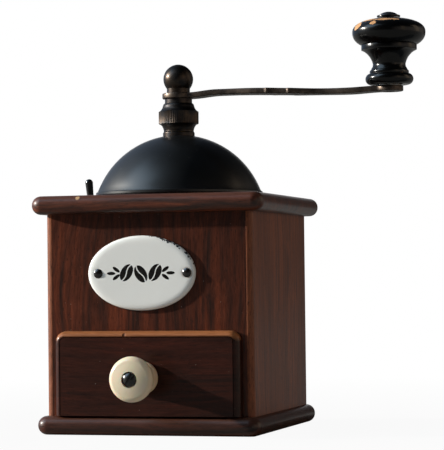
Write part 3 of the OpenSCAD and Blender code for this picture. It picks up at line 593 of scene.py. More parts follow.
def ivory_glaze():
    """Old porcelain: creamy, glossy, stained brown near the foot, and a little browner towards the right."""
    finish, tree, shader, place = new_finish(
        "aged_ivory_porcelain", "#dfd0b2", roughness=0.22, subsurface_weight=0.25, subsurface_scale=3 * MM,
        coat_weight=0.25, coat_roughness=0.08)
    centred = add(tree, "Mapping", {"Vector": place, "Location": (-knob_x * MM, -knob_high.y * MM, -knob_z * MM)})
    side, depth, _ = add(tree, "SeparateXYZ", {"Vector": centred.outputs[0]}).outputs
    cloud = add(tree, "TexNoise", {
        "Vector": place, "Scale": 1 / (GLAZE_CLOUD * MM), "Detail": 5.0}).outputs["Fac"]
    foot = add(tree, "MapRange", {
        "Value": depth, "From Min": FOOT_STAIN_FROM * MM, "From Max": FOOT_STAIN_TO * MM, "To Max": cloud,
    }).outputs[0]
    right = add(tree, "MapRange", {"Value": side, "From Max": RIGHT_BROWN_TO * MM, "To Max": 0.3}).outputs[0]
    brown_share = add(tree, "Math", {0: foot, 1: right}).outputs[0]
    body = lay_over(tree, linear("#dccbab"), linear("#e5d9c1"), cloud)
    glaze = lay_over(tree, body, linear("#c8925c"), brown_share, 0.1, 0.75, 0.6)
    to_shader(tree, shader, glaze, relief=(cloud, 0.1, 0.1))
    return finish


# %% White vitreous enamel
plate_low, plate_high = box_mm("name_plate")
plate_centre = (plate_low + plate_high) / 2
plate_half = (plate_high - plate_low) / 2
PIN_REACH = 24.75
PIN_MIDDLE_X = -2.5
RIM_GRAIN = 2.4
ENAMEL_CLOUD = 25
SPECK_GAP = 7
RUST_FULL = 2.0
RUST_ENDS = 3.4
RIM_DARK = linear("#23262d")


def vitreous_enamel():
    """White enamel on steel: glassy, faintly grey, chipped dark at the rim's upper right, rust beside one pin.
    A thin dark line of painted shade runs along its foot.
    """
    finish, tree, shader, place = new_finish(
        "white_vitreous_enamel", "#e2e2dc", roughness=0.14, coat_weight=0.3, coat_roughness=0.05)
    to_unit = (1 / (plate_half.x * MM), 0, 1 / (plate_half.z * MM))
    shift = (-plate_centre.x / plate_half.x, 0, -plate_centre.z / plate_half.z)
    disc = add(tree, "Mapping", {"Vector": place, "Scale": to_unit, "Location": shift}).outputs[0]
    reach = add(tree, "VectorMath", {0: disc}, operation="LENGTH").outputs["Value"]
    ragged = add(tree, "TexNoise", {
        "Vector": place, "Scale": 1 / (RIM_GRAIN * MM), "Detail": 5.0, "Roughness": 0.65}).outputs["Fac"]

    def towards_rim(direction, start, end, top):
        """Rises from 0 to top as a point nears the rim in one direction."""
        lean = add(tree, "VectorMath", {0: disc, 1: direction}, operation="DOT_PRODUCT").outputs["Value"]
        return add(tree, "MapRange", {
            "Value": lean, "From Min": start, "From Max": end, "To Max": top}).outputs[0]

    # Enamel is lost past a ragged rim, most at the upper right. The thin dark line along the foot is painted
    # shade where the plate meets the wood, drawn the same way.
    loose = add(tree, "MapRange", {"Value": ragged, "From Min": 0.47, "From Max": 1.47, "To Max": 0.5}).outputs[0]
    bite = towards_rim((0.62, 0, 0.78), 0.72, 0.97, loose)
    thin = towards_rim((-0.3, 0, -0.95), 0.45, 0.9, 0.013)
    rim_chipped_and_shaded = add(tree, "Math", {0: thin, 1: bite}, operation="MAXIMUM").outputs[0]
    past_rim = add(tree, "Math", {0: reach, 1: rim_chipped_and_shaded}).outputs[0]
    chip = add(tree, "MapRange", {"Value": past_rim, "From Min": 1.0, "From Max": 1.006}).outputs[0]
    # Small dark specks, and a halo of rust round the right-hand pin.
    specks = add(tree, "TexVoronoi", {"Vector": place, "Scale": 1 / (SPECK_GAP * MM)}).outputs["Distance"]
    speck = add(tree, "Math", {0: specks, 1: 0.03}, operation="LESS_THAN").outputs[0]
    pin_at = (MM * (PIN_MIDDLE_X + PIN_REACH), MM * plate_low.y, MM * plate_centre.z)
    from_pin = add(tree, "VectorMath", {0: place, 1: pin_at}, operation="DISTANCE").outputs["Value"]
    rust = add(tree, "Math", {0: ragged, 1: 1.3}, operation="MULTIPLY").outputs[0]
    cloud = add(tree, "TexNoise", {
        "Vector": place, "Scale": 1 / (ENAMEL_CLOUD * MM), "Detail": 2.0}).outputs["Fac"]
    enamel = lay_over(tree, linear("#ecece8"), linear("#f4f4f0"), cloud)
    enamel = lay_over(tree, enamel, linear("#8a6440"), from_pin, RUST_ENDS * MM, RUST_FULL * MM, rust)
    enamel = lay_over(tree, enamel, RIM_DARK, speck, most=0.7)
    enamel = lay_over(tree, enamel, RIM_DARK, chip)
    to_shader(tree, shader, enamel, (chip, 0.0, 1.0, 0.14, 0.6), (cloud, 0.3, 0.2))
    return finish


knob_glaze = ivory_glaze()
plate_enamel = vitreous_enamel()
print(len(bpy.data.materials), "materials in all")

# %% [markdown]
# ## Drawing helpers
# Pieces are drawn in millimetres, as a maker would, and turned into metres at the end. Round pieces are
# lathed: a half section is spun round its axis. The section's round stretches are written as arcs. Flat pieces
# start as an outline that is pulled along a line.

# %% Picking out parts of a mesh
def everything(bm):
    """All of a mesh, as the cutting operators want it."""
    return list(bm.verts) + list(bm.edges) + list(bm.faces)


def new_points(result):
    """The points that an operator has just made."""
    return [g for g in result["geom"] if isinstance(g, bmesh.types.BMVert)]


def upright_edges(bm):
    """The edges that climb."""
    return [e for e in bm.edges if abs(e.verts[0].co.z - e.verts[1].co.z) > 1]


def edges_at(bm, axis, level):
    """The edges that lie at one level of an axis, which is 0 for X, 1 for Y and 2 for Z."""
    return [e for e in bm.edges if all(abs(v.co[axis] - level) < 0.01 for v in e.verts)]


# %% Solids from an outline or a section
QUARTER_TURN = Matrix.Rotation(math.radians(90), 3, "X")


def outline_solid(points, pull):
    """A flat outline pulled along a vector into a closed solid."""
    bm = bmesh.new()
    face = bm.faces.new([bm.verts.new(p) for p in points])
    pulled = bmesh.ops.extrude_face_region(bm, geom=[face])
    bmesh.ops.translate(bm, vec=pull, verts=new_points(pulled))
    bmesh.ops.recalc_face_normals(bm, faces=bm.faces)
    return bm


def arc(centre_r, centre_h, radius, start_deg, end_deg, steps):
    """Points (radius, height) on an arc of a half section."""
    angles = [math.radians(start_deg + (end_deg - start_deg) * i / steps) for i in range(steps + 1)]
    return [(centre_r + radius * math.cos(a), centre_h + radius * math.sin(a)) for a in angles]


def lathe(section, steps=128, closed=False):
    """Spins a half section of (radius, height) points once round the Z axis."""
    bm = bmesh.new()
    points = [bm.verts.new((r, 0, h)) for r, h in section]
    lines = [bm.edges.new(pair) for pair in zip(points, points[1:])]
    if closed:
        lines.append(bm.edges.new((points[-1], points[0])))
    bmesh.ops.spin(bm, geom=points + lines, cent=(0, 0, 0), axis=(0, 0, 1), dvec=(0, 0, 0),
                   angle=math.tau, steps=steps, use_merge=True, use_duplicate=False)
    bmesh.ops.remove_doubles(bm, verts=bm.verts, dist=0.001)
    bmesh.ops.recalc_face_normals(bm, faces=bm.faces)
    return bm


# %% Soft edges and finished pieces
def soften(bm, edges, radius, segments=2):
    """Rounds edges with a bevel of the given radius."""
    bmesh.ops.bevel(bm, geom=edges, offset=radius, offset_type="OFFSET", segments=segments,
                    profile=0.5, affect="EDGES", material=-1)


def piece(bm, name, body, finish, stands_for=(), sharp_deg=32, flats=False):
    """Turns a drawing in millimetres into an object in metres that rides on its body.

    Edges that turn by more than sharp_deg stay crisp; flats keeps broad flat faces from shading like pillows."""
    bmesh.ops.scale(bm, vec=(MM, MM, MM), verts=bm.verts)
    mesh = bpy.data.meshes.new(name)
    bm.to_mesh(mesh)
    bm.free()
    mesh.shade_smooth()
    mesh.set_sharp_from_angle(angle=math.radians(sharp_deg))
    mesh.materials.append(finish)
    made = bpy.data.objects.new(name, mesh)
    bpy.context.scene.collection.objects.link(made)
    if flats:
        made.modifiers.new("flat_faces_stay_flat", "WEIGHTED_NORMAL").keep_sharp = True
    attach(made, body)
    if stands_for:
        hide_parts(*stands_for)
    print(f"{name}: {len(mesh.polygons)} faces")
    return made


# %% [markdown]
# ## Base board and top board
# Both boards have a full bullnose: the edge is rounded over its whole thickness. A bevel of nearly half the
# thickness on the top and bottom rims makes it, after the upright corners are rounded. Modelling the edge
# matters, because the low lamp draws a highlight along it. The top board is cut out for the funnel.

# %% Round the boards
BOARD_CORNER = 6.5
FUNNEL_HOLE_R = 29.7
CORNER_STEPS = 8
BULLNOSE = 0.485
BULLNOSE_STEPS = 10


def bullnose_board(node):
    """A square board with rounded corners and fully rounded edges, in the place of its node."""
    low, high = box_mm(node)
    bm = bmesh.new()
    bmesh.ops.create_cube(bm, size=1)
    bmesh.ops.scale(bm, vec=high - low, verts=bm.verts)
    bmesh.ops.translate(bm, vec=(low + high) / 2, verts=bm.verts)
    soften(bm, upright_edges(bm), BOARD_CORNER, CORNER_STEPS)
    bm.normal_update()
    rims = [e for e in bm.edges if sorted(round(abs(f.normal.z)) for f in e.link_faces) == [0, 1]]
    soften(bm, rims, (high.z - low.z) * BULLNOSE, BULLNOSE_STEPS)
    return bm


def cut_round_hole(bm, radius):
    """Opens a round hole through a board's top and bottom faces, and gives it a wall."""
    bm.normal_update()
    flats = sorted((f for f in bm.faces if abs(f.normal.z) > 0.999), key=lambda f: f.calc_area())[-2:]
    rings = []
    for flat in flats:
        outline = list(flat.edges)
        height = flat.calc_center_median().z
        bm.faces.remove(flat)
        ring = bmesh.ops.create_circle(bm, segments=len(outline), radius=radius)
        bmesh.ops.translate(bm, vec=(0, 0, height), verts=ring["verts"])
        circle = list({e for v in ring["verts"] for e in v.link_edges})
        bmesh.ops.bridge_loops(bm, edges=outline + circle)
        rings += circle
    bmesh.ops.bridge_loops(bm, edges=rings)
    bmesh.ops.recalc_face_normals(bm, faces=bm.faces)


base = bullnose_board("base_board")
piece(base, "bullnosed_base", "housing", beech_base, ["base_board"], flats=True)
top = bullnose_board("top_board")
cut_round_hole(top, FUNNEL_HOLE_R)
piece(top, "bullnosed_top", "housing", beech_across, ["top_board"], flats=True)

# %% [markdown]
# ## Case boards
# The side boards are rebated at both ends, so that only a narrow edge of them shows beside the front panel.
# Their outer arris is rounded, and a hair is taken off the edges that meet a panel, which makes the thin shadow
# line between two boards. Each starts as its outline seen from above and is pulled up to its height.

# %% Side boards
ARRIS = 0.15
CASE_EDGE_R = 3.0
side_low, side_high = box_mm("right_side")
panel_low, panel_high = box_mm("front_panel")
rebate_x = panel_high.x
rebate_y = panel_high.y


def side_board(sign):
    """One side board; sign is 1 for the right-hand side and -1 for the left."""
    corners = [
        (side_low.x, rebate_y), (rebate_x, rebate_y), (rebate_x, side_low.y), (side_high.x, side_low.y),
        (side_high.x, side_high.y), (rebate_x, side_high.y), (rebate_x, -rebate_y), (side_low.x, -rebate_y),
    ]
    bm = outline_solid([(sign * x, y, side_low.z) for x, y in corners], (0, 0, side_high.z - side_low.z))
    outer = [e for e in upright_edges(bm) if abs(e.verts[0].co.x) > side_high.x - 0.1]
    joints = [e for e in upright_edges(bm) if e not in outer and abs(e.verts[0].co.y) > side_high.y - 0.1]
    soften(bm, outer, CASE_EDGE_R, 6)
    soften(bm, [e for e in joints if e.is_valid], ARRIS)
    return bm


piece(side_board(1), "right_board", "housing", beech_sides, ["right_side"], flats=True)
piece(side_board(-1), "left_board", "housing", beech_sides, ["left_side"], flats=True)

# %% Front and back panels
OPENING_SIDE_GAP = 1.0
OPENING_TOP_GAP = 2.9
opening_x = box_mm("drawer_right_side")[1].x + OPENING_SIDE_GAP
opening_z = box_mm("drawer_left_side")[1].z + OPENING_TOP_GAP
back_low, back_high = box_mm("back_panel")


def panel(outline, near_y, far_y, rim_y):
    """An upright panel between two depths, with a hair taken off the rim that shows."""
    bm = outline_solid([(x, near_y, z) for x, z in outline], (0, far_y - near_y, 0))
    soften(bm, edges_at(bm, 1, rim_y), ARRIS)
    return bm


front = panel([
    (panel_low.x, panel_low.z), (-opening_x, panel_low.z), (-opening_x, opening_z), (opening_x, opening_z),
    (opening_x, panel_low.z), (panel_high.x, panel_low.z), (panel_high.x, panel_high.z),
    (panel_low.x, panel_high.z),
], panel_low.y, panel_high.y, panel_low.y)
piece(front, "front_board", "housing", beech_upright, ["front_panel"], flats=True)
back = panel([
    (back_low.x, back_low.z), (back_high.x, back_low.z), (back_high.x, back_high.z), (back_low.x, back_high.z),
], back_low.y, back_high.y, back_high.y)
piece(back, "back_board", "housing", beech_upright, ["back_panel"], flats=True)

# %% [markdown]
# ## Drawer front
# The front's edge is rounded on three sides, deeper than it is wide, and ends in a fine groove round the flat
# field. A joiner would mould a longer board all round and saw off the foot, and that is done here too. Bevel
# makes only round edges, so the board is drawn too thin, bevelled, and stretched to its depth afterwards. One
# knock dents the upper edge. Behind the front, between the tray's sides, sits the block for the knob's screw.

# %% Mould the drawer front
EDGE_W = 3.0
EDGE_DEEP = 4.5
GROOVE = 0.6
FRONT_CORNER_R = 5.8
FOOT_WASTE = 12.0
BLOCK_T = 4.0
front_low, front_high = box_mm("drawer_front")
front_back = front_high.y - BLOCK_T
front_t = front_back - front_low.y
thin_t = EDGE_W + (front_t - EDGE_DEEP) * EDGE_W / EDGE_DEEP
sawn_z = front_low.z - FOOT_WASTE
blank = outline_solid([
    (front_low.x, 0, sawn_z), (front_high.x, 0, sawn_z), (front_high.x, 0, front_high.z),
    (front_low.x, 0, front_high.z),
], (0, -thin_t, 0))
top_corners = [e for e in edges_at(blank, 2, front_high.z) if abs(e.verts[0].co.y - e.verts[1].co.y) > 1]
soften(blank, top_corners, FRONT_CORNER_R, 8)
soften(blank, edges_at(blank, 1, -thin_t), EDGE_W, 9)
bmesh.ops.scale(blank, vec=(1, front_t / thin_t, 1), verts=blank.verts)
bmesh.ops.translate(blank, vec=(0, front_back, 0), verts=blank.verts)
blank.normal_update()
field = min(blank.faces, key=lambda f: (round(f.calc_center_median().y, 2), -f.calc_area()))
floor_ring = bmesh.ops.inset_region(
    blank, faces=[field], thickness=GROOVE, use_even_offset=True, use_boundary=True)["faces"]
sunk = bmesh.ops.extrude_face_region(blank, geom=floor_ring)
bmesh.ops.translate(blank, vec=(0, GROOVE, 0), verts=new_points(sunk))
bmesh.ops.delete(blank, geom=floor_ring, context="FACES")
print("drawer front:", round(front_t, 1), "mm thick, moulded", EDGE_DEEP, "mm deep")

# %% Dent the drawer front and saw off its foot
DENT_X = -12.0
DENT_HALF = 0.9
DENT_DEPTH = 0.5
DENT_LOWEST = EDGE_W + 0.1
DENT_HIGHEST = EDGE_W - 1.8
for offset in (-DENT_HALF, -0.35 * DENT_HALF, 0.35 * DENT_HALF, DENT_HALF):
    bmesh.ops.bisect_plane(blank, geom=everything(blank), plane_co=(DENT_X + offset, 0, 0), plane_no=(1, 0, 0))
dented = [v for v in blank.verts if abs(v.co.x - DENT_X) < 0.5 * DENT_HALF
          and DENT_HIGHEST < front_high.z - v.co.z < DENT_LOWEST]
bmesh.ops.translate(blank, vec=(0, DENT_DEPTH, -DENT_DEPTH / 2), verts=dented)
sawn = bmesh.ops.bisect_plane(blank, geom=everything(blank), plane_co=(0, 0, front_low.z), plane_no=(0, 0, -1),
                              clear_outer=True)
bmesh.ops.holes_fill(blank, edges=[g for g in sawn["geom_cut"] if isinstance(g, bmesh.types.BMEdge)])
tray_low, tray_high = box_mm("drawer_back")
block_low = Vector((tray_low.x, front_back, tray_low.z))
block_size = Vector((tray_high.x, front_high.y, tray_high.z)) - block_low
block = bmesh.ops.create_cube(blank, size=1)["verts"]
bmesh.ops.scale(blank, vec=block_size, verts=block)
bmesh.ops.translate(blank, vec=block_low + block_size / 2, verts=block)
bmesh.ops.recalc_face_normals(blank, faces=blank.faces)
piece(blank, "moulded_drawer_front", "drawer", beech_drawer, ["drawer_front"],
      sharp_deg=40, flats=True)

# %% [markdown]
# ## Enamel plate
# The plate is pressed from sheet and dished at its edge, so the enamel rolls over the rim in one soft curve.
# A square grid squeezed into an ellipse gives even quads up to the rim, and one formula gives each point its
# height: the rolled edge, and a shallow dimple where each pin draws the plate down.

# %% Press the plate
PLATE_CELLS = (88, 60)
ROLL_WIDTH = 4.6
EDGE_H = 0.5
DIMPLE_R = 4.2
DIMPLE_DEPTH = 0.28
ROLL_POWER = 2.6
FLAT_ENDS = 0.35
plate_back = plate_high.y
plate_rise = plate_back - plate_low.y

plate = bmesh.new()
bmesh.ops.create_grid(plate, x_segments=PLATE_CELLS[0], y_segments=PLATE_CELLS[1], size=1)
for v in plate.verts:
    u, w = v.co.x, v.co.y
    x = u * math.sqrt(1 - w * w / 2) * plate_half.x
    z = w * math.sqrt(1 - u * u / 2) * plate_half.z
    reach = math.hypot(x / plate_half.x, z / plate_half.z)
    inset = (1 - reach) * plate_half.z * (1 + FLAT_ENDS * abs(x) / plate_half.x)
    share = min(1.0, max(0.0, inset / ROLL_WIDTH))
    rolled = EDGE_H + (plate_rise - EDGE_H) * math.sqrt(1 - (1 - share) ** ROLL_POWER)
    for pin_x in (PIN_MIDDLE_X - PIN_REACH, PIN_MIDDLE_X + PIN_REACH):
        away = math.hypot(x + plate_centre.x - pin_x, z) / DIMPLE_R
        rolled -= DIMPLE_DEPTH * max(0.0, 1 - away * away) ** 2
    v.co = (x + plate_centre.x, plate_back - rolled, z + plate_centre.z)
rim_edges = [e for e in plate.edges if e.is_boundary]
skirt = bmesh.ops.extrude_edge_only(plate, edges=rim_edges)
for v in new_points(skirt):
    v.co.y = plate_back
back_edges = [e for e in plate.edges if e.is_boundary]
bmesh.ops.contextual_create(plate, geom=back_edges)
bmesh.ops.recalc_face_normals(plate, faces=plate.faces)
piece(plate, "enamel_plate", "housing", plate_enamel, ["name_plate"], sharp_deg=50)

# %% [markdown]
# ## Coffee beans on the plate
# The plate carries a small black decoration fired into the enamel: three coffee beans with three leaves on
# each side. It could be painted in the shader, but cut shapes keep their edge at any distance. A bean is two
# halves of an ellipse, parted by a wavy line.

# %% Draw a bean or a leaf
SEAM_HALF = 0.3
SEAM_WAVE = 0.55
motif = bmesh.new()


def blob(x, z, length, width, turn_deg, part=0):
    """Adds a flat ellipse to the motif, or one half of a parted bean when part is 1 or -1."""
    shape = bmesh.new()
    bmesh.ops.create_circle(shape, cap_ends=True, segments=40, radius=1)
    bmesh.ops.scale(shape, vec=(length / 2, width / 2, 1), verts=shape.verts)
    if part:
        parted = bmesh.ops.bisect_plane(shape, geom=everything(shape), plane_co=(0, SEAM_HALF * part, 0),
                                        plane_no=(0, -part, 0), clear_outer=True)
        seam = [g for g in parted["geom_cut"] if isinstance(g, bmesh.types.BMEdge)]
        bmesh.ops.subdivide_edges(shape, edges=seam, cuts=11)
        for v in shape.verts:
            if abs(v.co.y - SEAM_HALF * part) < 0.001:
                v.co.y += SEAM_WAVE * math.sin(math.tau * v.co.x / length)
    turned = Matrix.Rotation(math.radians(turn_deg), 3, "Z")
    bmesh.ops.rotate(shape, cent=(0, 0, 0), matrix=turned, verts=shape.verts)
    bmesh.ops.translate(shape, vec=(x, z, 0), verts=shape.verts)
    drawn = bpy.data.meshes.new("motif_part")
    shape.to_mesh(drawn)
    shape.free()
    motif.from_mesh(drawn)
    bpy.data.meshes.remove(drawn)


# %% Fire the decoration
PRINT_T = 0.03
PRINT_PROUD = 0.01
BEAN_SIZE = (9.9, 6.3)
LEAF_SIZE = (4.7, 1.8)
# Each place is x, z and a tilt in degrees, from the middle of the plate.
BEANS = ((-8.0, 0.3, 58), (0, -0.4, 122), (8.0, 0.3, 58))
LEAVES = ((13.7, 2.0, 36), (13.7, -2.0, -36), (16.6, 0, 0))
for bean_x, bean_z, tilt in BEANS:
    for part in (1, -1):
        blob(bean_x, bean_z, *BEAN_SIZE, tilt, part)
for side in (-1, 1):
    for leaf_x, leaf_z, tilt in LEAVES:
        blob(side * leaf_x, leaf_z, *LEAF_SIZE, side * tilt)
thick = bmesh.ops.extrude_face_region(motif, geom=list(motif.faces))
bmesh.ops.translate(motif, vec=(0, 0, PRINT_T), verts=new_points(thick))
bmesh.ops.recalc_face_normals(motif, faces=motif.faces)
bmesh.ops.rotate(motif, cent=(0, 0, 0), matrix=QUARTER_TURN, verts=motif.verts)
print_back = plate_low.y - PRINT_PROUD + PRINT_T
bmesh.ops.translate(motif, vec=(plate_centre.x, print_back, plate_centre.z), verts=motif.verts)
piece(motif, "fired_decoration", "housing", japan_black)

# %% [markdown]
# ## Dome
# The dome is spun from thin sheet, with a rolled rim and a window at the back for filling. A lathed skin, cut
# where the window is and then given its thickness, is closer to spun sheet than a solid with a hole would be.
# The spin's steps are 2.5 degrees, so that the window's ends fall on them.

# %% Spin the dome's skin
DOME_R = 48.5
RIM_OUT = 0.35
RIM_H = 1.6
WINDOW_DEG = (77.5, 172.5)
WINDOW_Z = (133.6, 153.6)
dome_low, dome_high = box_mm("dome_cover")
rim_r = dome_high.x
rim_step_z = dome_low.z + RIM_H
dome_centre_z = dome_low.z - math.sqrt(DOME_R ** 2 - (rim_r - RIM_OUT) ** 2)
hole_deg = math.degrees(math.asin((dome_high.z - dome_centre_z) / DOME_R))
levels = [hole_deg] + [
    math.degrees(math.asin((z - dome_centre_z) / DOME_R)) for z in (WINDOW_Z[1], WINDOW_Z[0], rim_step_z)]
skin = []
for start, end, steps in zip(levels, levels[1:], (16, 14, 2)):
    skin += arc(0, dome_centre_z, DOME_R, start, end, steps)[:-1]
skin += [(rim_r - 0.75, rim_step_z), (rim_r - 0.25, rim_step_z - 0.12), (rim_r, rim_step_z - 0.45)]
skin += [(rim_r, dome_low.z)]
dome = lathe(skin, steps=144)
print("the skin has", len(dome.faces), "faces")

# %% Cut the filling window
SHEET_T = 0.8


def in_window(face):
    """Whether a face lies in the filling window."""
    middle = face.calc_center_median()
    bearing = math.degrees(math.atan2(middle.y, middle.x)) % 360
    return WINDOW_DEG[0] < bearing < WINDOW_DEG[1] and WINDOW_Z[0] < middle.z < WINDOW_Z[1]


bmesh.ops.delete(dome, geom=[f for f in dome.faces if in_window(f)], context="FACES")
bmesh.ops.solidify(dome, geom=list(dome.faces), thickness=SHEET_T)
bmesh.ops.recalc_face_normals(dome, faces=dome.faces)
piece(dome, "spun_dome", "housing", dome_black, ["dome_cover"])

# %% [markdown]
# ## Adjusting nut
# The nut's two necks are hollow curves and its band is knurled for the fingers. After the section is spun,
# every second line of the band is drawn inwards, which leaves a ring of small upright ribs.

# %% Turn and knurl the nut
KNURLS = 72
KNURL_DEPTH = 0.35
BAND_R = 11.15
BAND_FROM, BAND_TO = 3.6, 10.4
BORE_R = 4.1
nut_low, nut_high = box_mm("adjusting_nut")
band_low = nut_low.z + BAND_FROM
band_high = nut_low.z + BAND_TO
# The foot and the lower neck.
nut_section = [(BORE_R, nut_low.z), (8.2, nut_low.z), (8.5, nut_low.z + 0.3)]
nut_section += arc(13.2, nut_low.z - 0.4, 4.75, 170, 127, 8)
# The band, its corners broken.
nut_section += [(BAND_R - 0.5, band_low - 0.25), (BAND_R - 0.12, band_low), (BAND_R, band_low + 0.2)]
nut_section += [(BAND_R, band_high - 0.2), (BAND_R - 0.12, band_high), (BAND_R - 0.6, band_high + 0.2)]
# The upper neck and the top.
nut_section += arc(12.45, band_high + 3.6, 3.7, 224, 188, 7)
nut_section += [(8.4, nut_high.z - 0.4), (8.0, nut_high.z), (BORE_R, nut_high.z)]
nut = lathe(nut_section, steps=2 * KNURLS, closed=True)
step = math.pi / KNURLS
grooves = [v for v in nut.verts if abs(v.co.xy.length - BAND_R) < 0.01
           and round(math.atan2(v.co.y, v.co.x) / step) % 2]
groove_scale = 1 - KNURL_DEPTH / BAND_R
bmesh.ops.scale(nut, vec=(groove_scale, groove_scale, 1), verts=grooves)
piece(nut, "knurled_nut", "grind_nut", nut_steel, ["adjusting_nut"], sharp_deg=40)

# %% [markdown]
# ## Crank arm
# The arm is forged flat, a little wider in the middle, with two pointed ornaments on each edge and a slow
# wave in its height. A strip of crosswise rows takes the outline and the wave from formulas, is thickened, and
# has its long edges eased, as a file leaves them.

# %% Draw the arm's outline
BOSS_R = 9.0
END_R = 7.5
CUSPS = (53.0, 65.5)
CUSP_OUT = 1.5
CUSP_STEP = 1.5
CUSP_RUN = 9.0
BAR_HALF = 5.7
# Each change is how much, from which x and to which x, all in millimetres.
WIDTH_CHANGES = ((1.8, 28, 50), (-2.2, 68, 84), (0.7, 86, 98), (-0.5, 101, 112))
HEIGHT_CHANGES = ((1.2, 6.5, 24), (-1.85, 32, 96), (0.65, 97, 116))
crank_reach = handle_x


def ease(x, a, b):
    """Goes smoothly from 0 at x = a to 1 at x = b."""
    return (1 - math.cos(math.pi * min(1.0, max(0.0, (x - a) / (b - a))))) / 2


def changed(x, changes, start=0.0):
    """A size at x, after the changes that are behind it."""
    return sum((much * ease(x, a, b) for much, a, b in changes), start)


def cusp(x, at):
    """One pointed ornament: it rises in a short step and runs out in a long curve."""
    return max(0.0, 1 - (at - x) / CUSP_STEP) if x < at else max(0.0, 1 - (x - at) / CUSP_RUN) ** 2


def arm_half(x):
    """Half the arm's width at x."""
    bar = changed(x, WIDTH_CHANGES, BAR_HALF) + CUSP_OUT * sum(cusp(x, at) for at in CUSPS)
    boss = math.sqrt(max(0.0, BOSS_R ** 2 - x * x))
    end = math.sqrt(max(0.0, END_R ** 2 - (x - crank_reach) ** 2))
    return max(boss, end, bar if 0 < x < crank_reach else 0.0)


print("the bar is", [round(2 * arm_half(x), 1) for x in range(10, 110, 20)], "mm wide")

# %% Forge the arm
ARM_T = 3.0
ROWS_ACROSS = 4
ROUND_STEPS = 10
FILED_R = 0.5
seat_z = box_mm("crank_washer")[1].z
stations = [-BOSS_R * math.cos(math.pi / 2 * i / ROUND_STEPS) for i in range(ROUND_STEPS)]
stations += range(round(crank_reach))
stations += [at + d for at in CUSPS for d in (-CUSP_STEP, 0.0)]
stations += [crank_reach + END_R * math.sin(math.pi / 2 * i / ROUND_STEPS) for i in range(ROUND_STEPS + 1)]
stations = sorted(set(stations))
arm = bmesh.new()
bmesh.ops.create_grid(arm, x_segments=len(stations) - 1, y_segments=ROWS_ACROSS, size=0.5)
for v in arm.verts:
    x = stations[round((v.co.x + 0.5) * (len(stations) - 1))]
    v.co = (x, 2 * v.co.y * arm_half(x), seat_z + changed(x, HEIGHT_CHANGES))
bmesh.ops.remove_doubles(arm, verts=arm.verts, dist=0.001)
arm_top = bmesh.ops.extrude_face_region(arm, geom=list(arm.faces))
bmesh.ops.translate(arm, vec=(0, 0, ARM_T), verts=new_points(arm_top))
bmesh.ops.recalc_face_normals(arm, faces=arm.faces)
arm_rims = [e for e in arm.edges if len(e.link_faces) == 2 and e.calc_face_angle() > math.radians(60)
            and abs(e.verts[0].co.z - e.verts[1].co.z) < 1]
soften(arm, arm_rims, FILED_R, 3)
piece(arm, "forged_arm", "crank", arm_steel, ["crank_arm"], sharp_deg=40)

# %% [markdown]
# ## Handle
# The handle is turned on a lathe: a round foot bead, two fine steps, a hollow neck, a fillet and a wide
# flattened crown. The crown is neither an arc nor an ellipse but a little squarer, so it follows a
# superellipse.

# %% Turn the handle
CROWN_R = 19.9
CROWN_POWER = 2 / 2.3
CROWN_H = 28.5
handle_h = handle_high.z - handle_low.z


def crown(height, start_deg, end_deg, steps):
    """Points on the crown's squared-off ellipse, from start_deg to end_deg above its widest line."""
    angles = [math.radians(start_deg + (end_deg - start_deg) * i / steps) for i in range(steps + 1)]
    return [(CROWN_R * math.cos(a) ** CROWN_POWER,
             CROWN_H + math.copysign(height * abs(math.sin(a)) ** CROWN_POWER, a)) for a in angles]


# The foot bead and two fine steps.
handle_section = [(0, 0)]
handle_section += arc(9.95, 3.1, 3.1, -90, 62, 14)
handle_section += [(10.55, 6.1), (10.65, 6.5), (10.65, 7.3), (10.45, 7.7), (9.85, 8.3), (9.75, 8.8), (9.1, 9.7)]
# The hollow neck and the fillet.
handle_section += arc(19.5, 9.2, 10.8, 170, 119, 12)
handle_section += [(15.0, 18.9), (15.1, 19.3), (15.1, 21.3), (14.95, 21.7)]
# The crown, from its under side to its middle.
handle_section += crown(9.5, -39, 0, 10)
handle_section += crown(handle_h - CROWN_H, 0, 86, 24)[1:]
handle_section += [(0, handle_h)]
handle = lathe(handle_section, steps=128)
bmesh.ops.translate(handle, vec=(handle_x, 0, handle_low.z), verts=handle.verts)
piece(handle, "turned_handle", "handle", handle_lacquer, ["crank_handle"], sharp_deg=50)

# %% [markdown]
# ## Knob
# The drawer's knob is thrown porcelain: a foot that spreads on the drawer, a waist, and a nearly flat round
# face, sunk in the middle for the screw's head. It is lathed upright and then laid on its side. The face's
# highest point is lost in the sunk middle, so the section is a little longer than the node's box.

# %% Turn the knob
KNOB_R = (knob_high.x - knob_low.x) / 2
CROWN_LOST = 0.47
RIM_R = 3.4
FACE_R = 40.0
SINK_R = 4.2
SINK_DEEP = 2.3
SCREW_HOLE_R = 2.1
knob_len = knob_length + CROWN_LOST
rim_h = knob_len - 4.67
# The foot and the waist.
knob_section = [(SCREW_HOLE_R, 0), (8.3, 0)]
knob_section += arc(7.6, 1.4, 1.2, -40, 90, 7)
knob_section += arc(11.2, rim_h / 2, 6.6, 227, 133, 14)
# The rim, the face and the sunk middle.
knob_section += arc(KNOB_R - RIM_R, rim_h, RIM_R, -70, 77, 18)
knob_section += arc(0, knob_len - 0.25 - FACE_R, FACE_R, 76.5, 83.9, 6)
knob_section += [(SINK_R, knob_len - 0.7), (SINK_R, knob_len - SINK_DEEP), (SCREW_HOLE_R, knob_len - SINK_DEEP)]
knob = lathe(knob_section, steps=112, closed=True)
bmesh.ops.rotate(knob, cent=(0, 0, 0), matrix=QUARTER_TURN, verts=knob.verts)
bmesh.ops.translate(knob, vec=(knob_x, knob_high.y, knob_z), verts=knob.verts)
piece(knob, "porcelain_knob", "drawer", knob_glaze, ["drawer_knob"], sharp_deg=60)
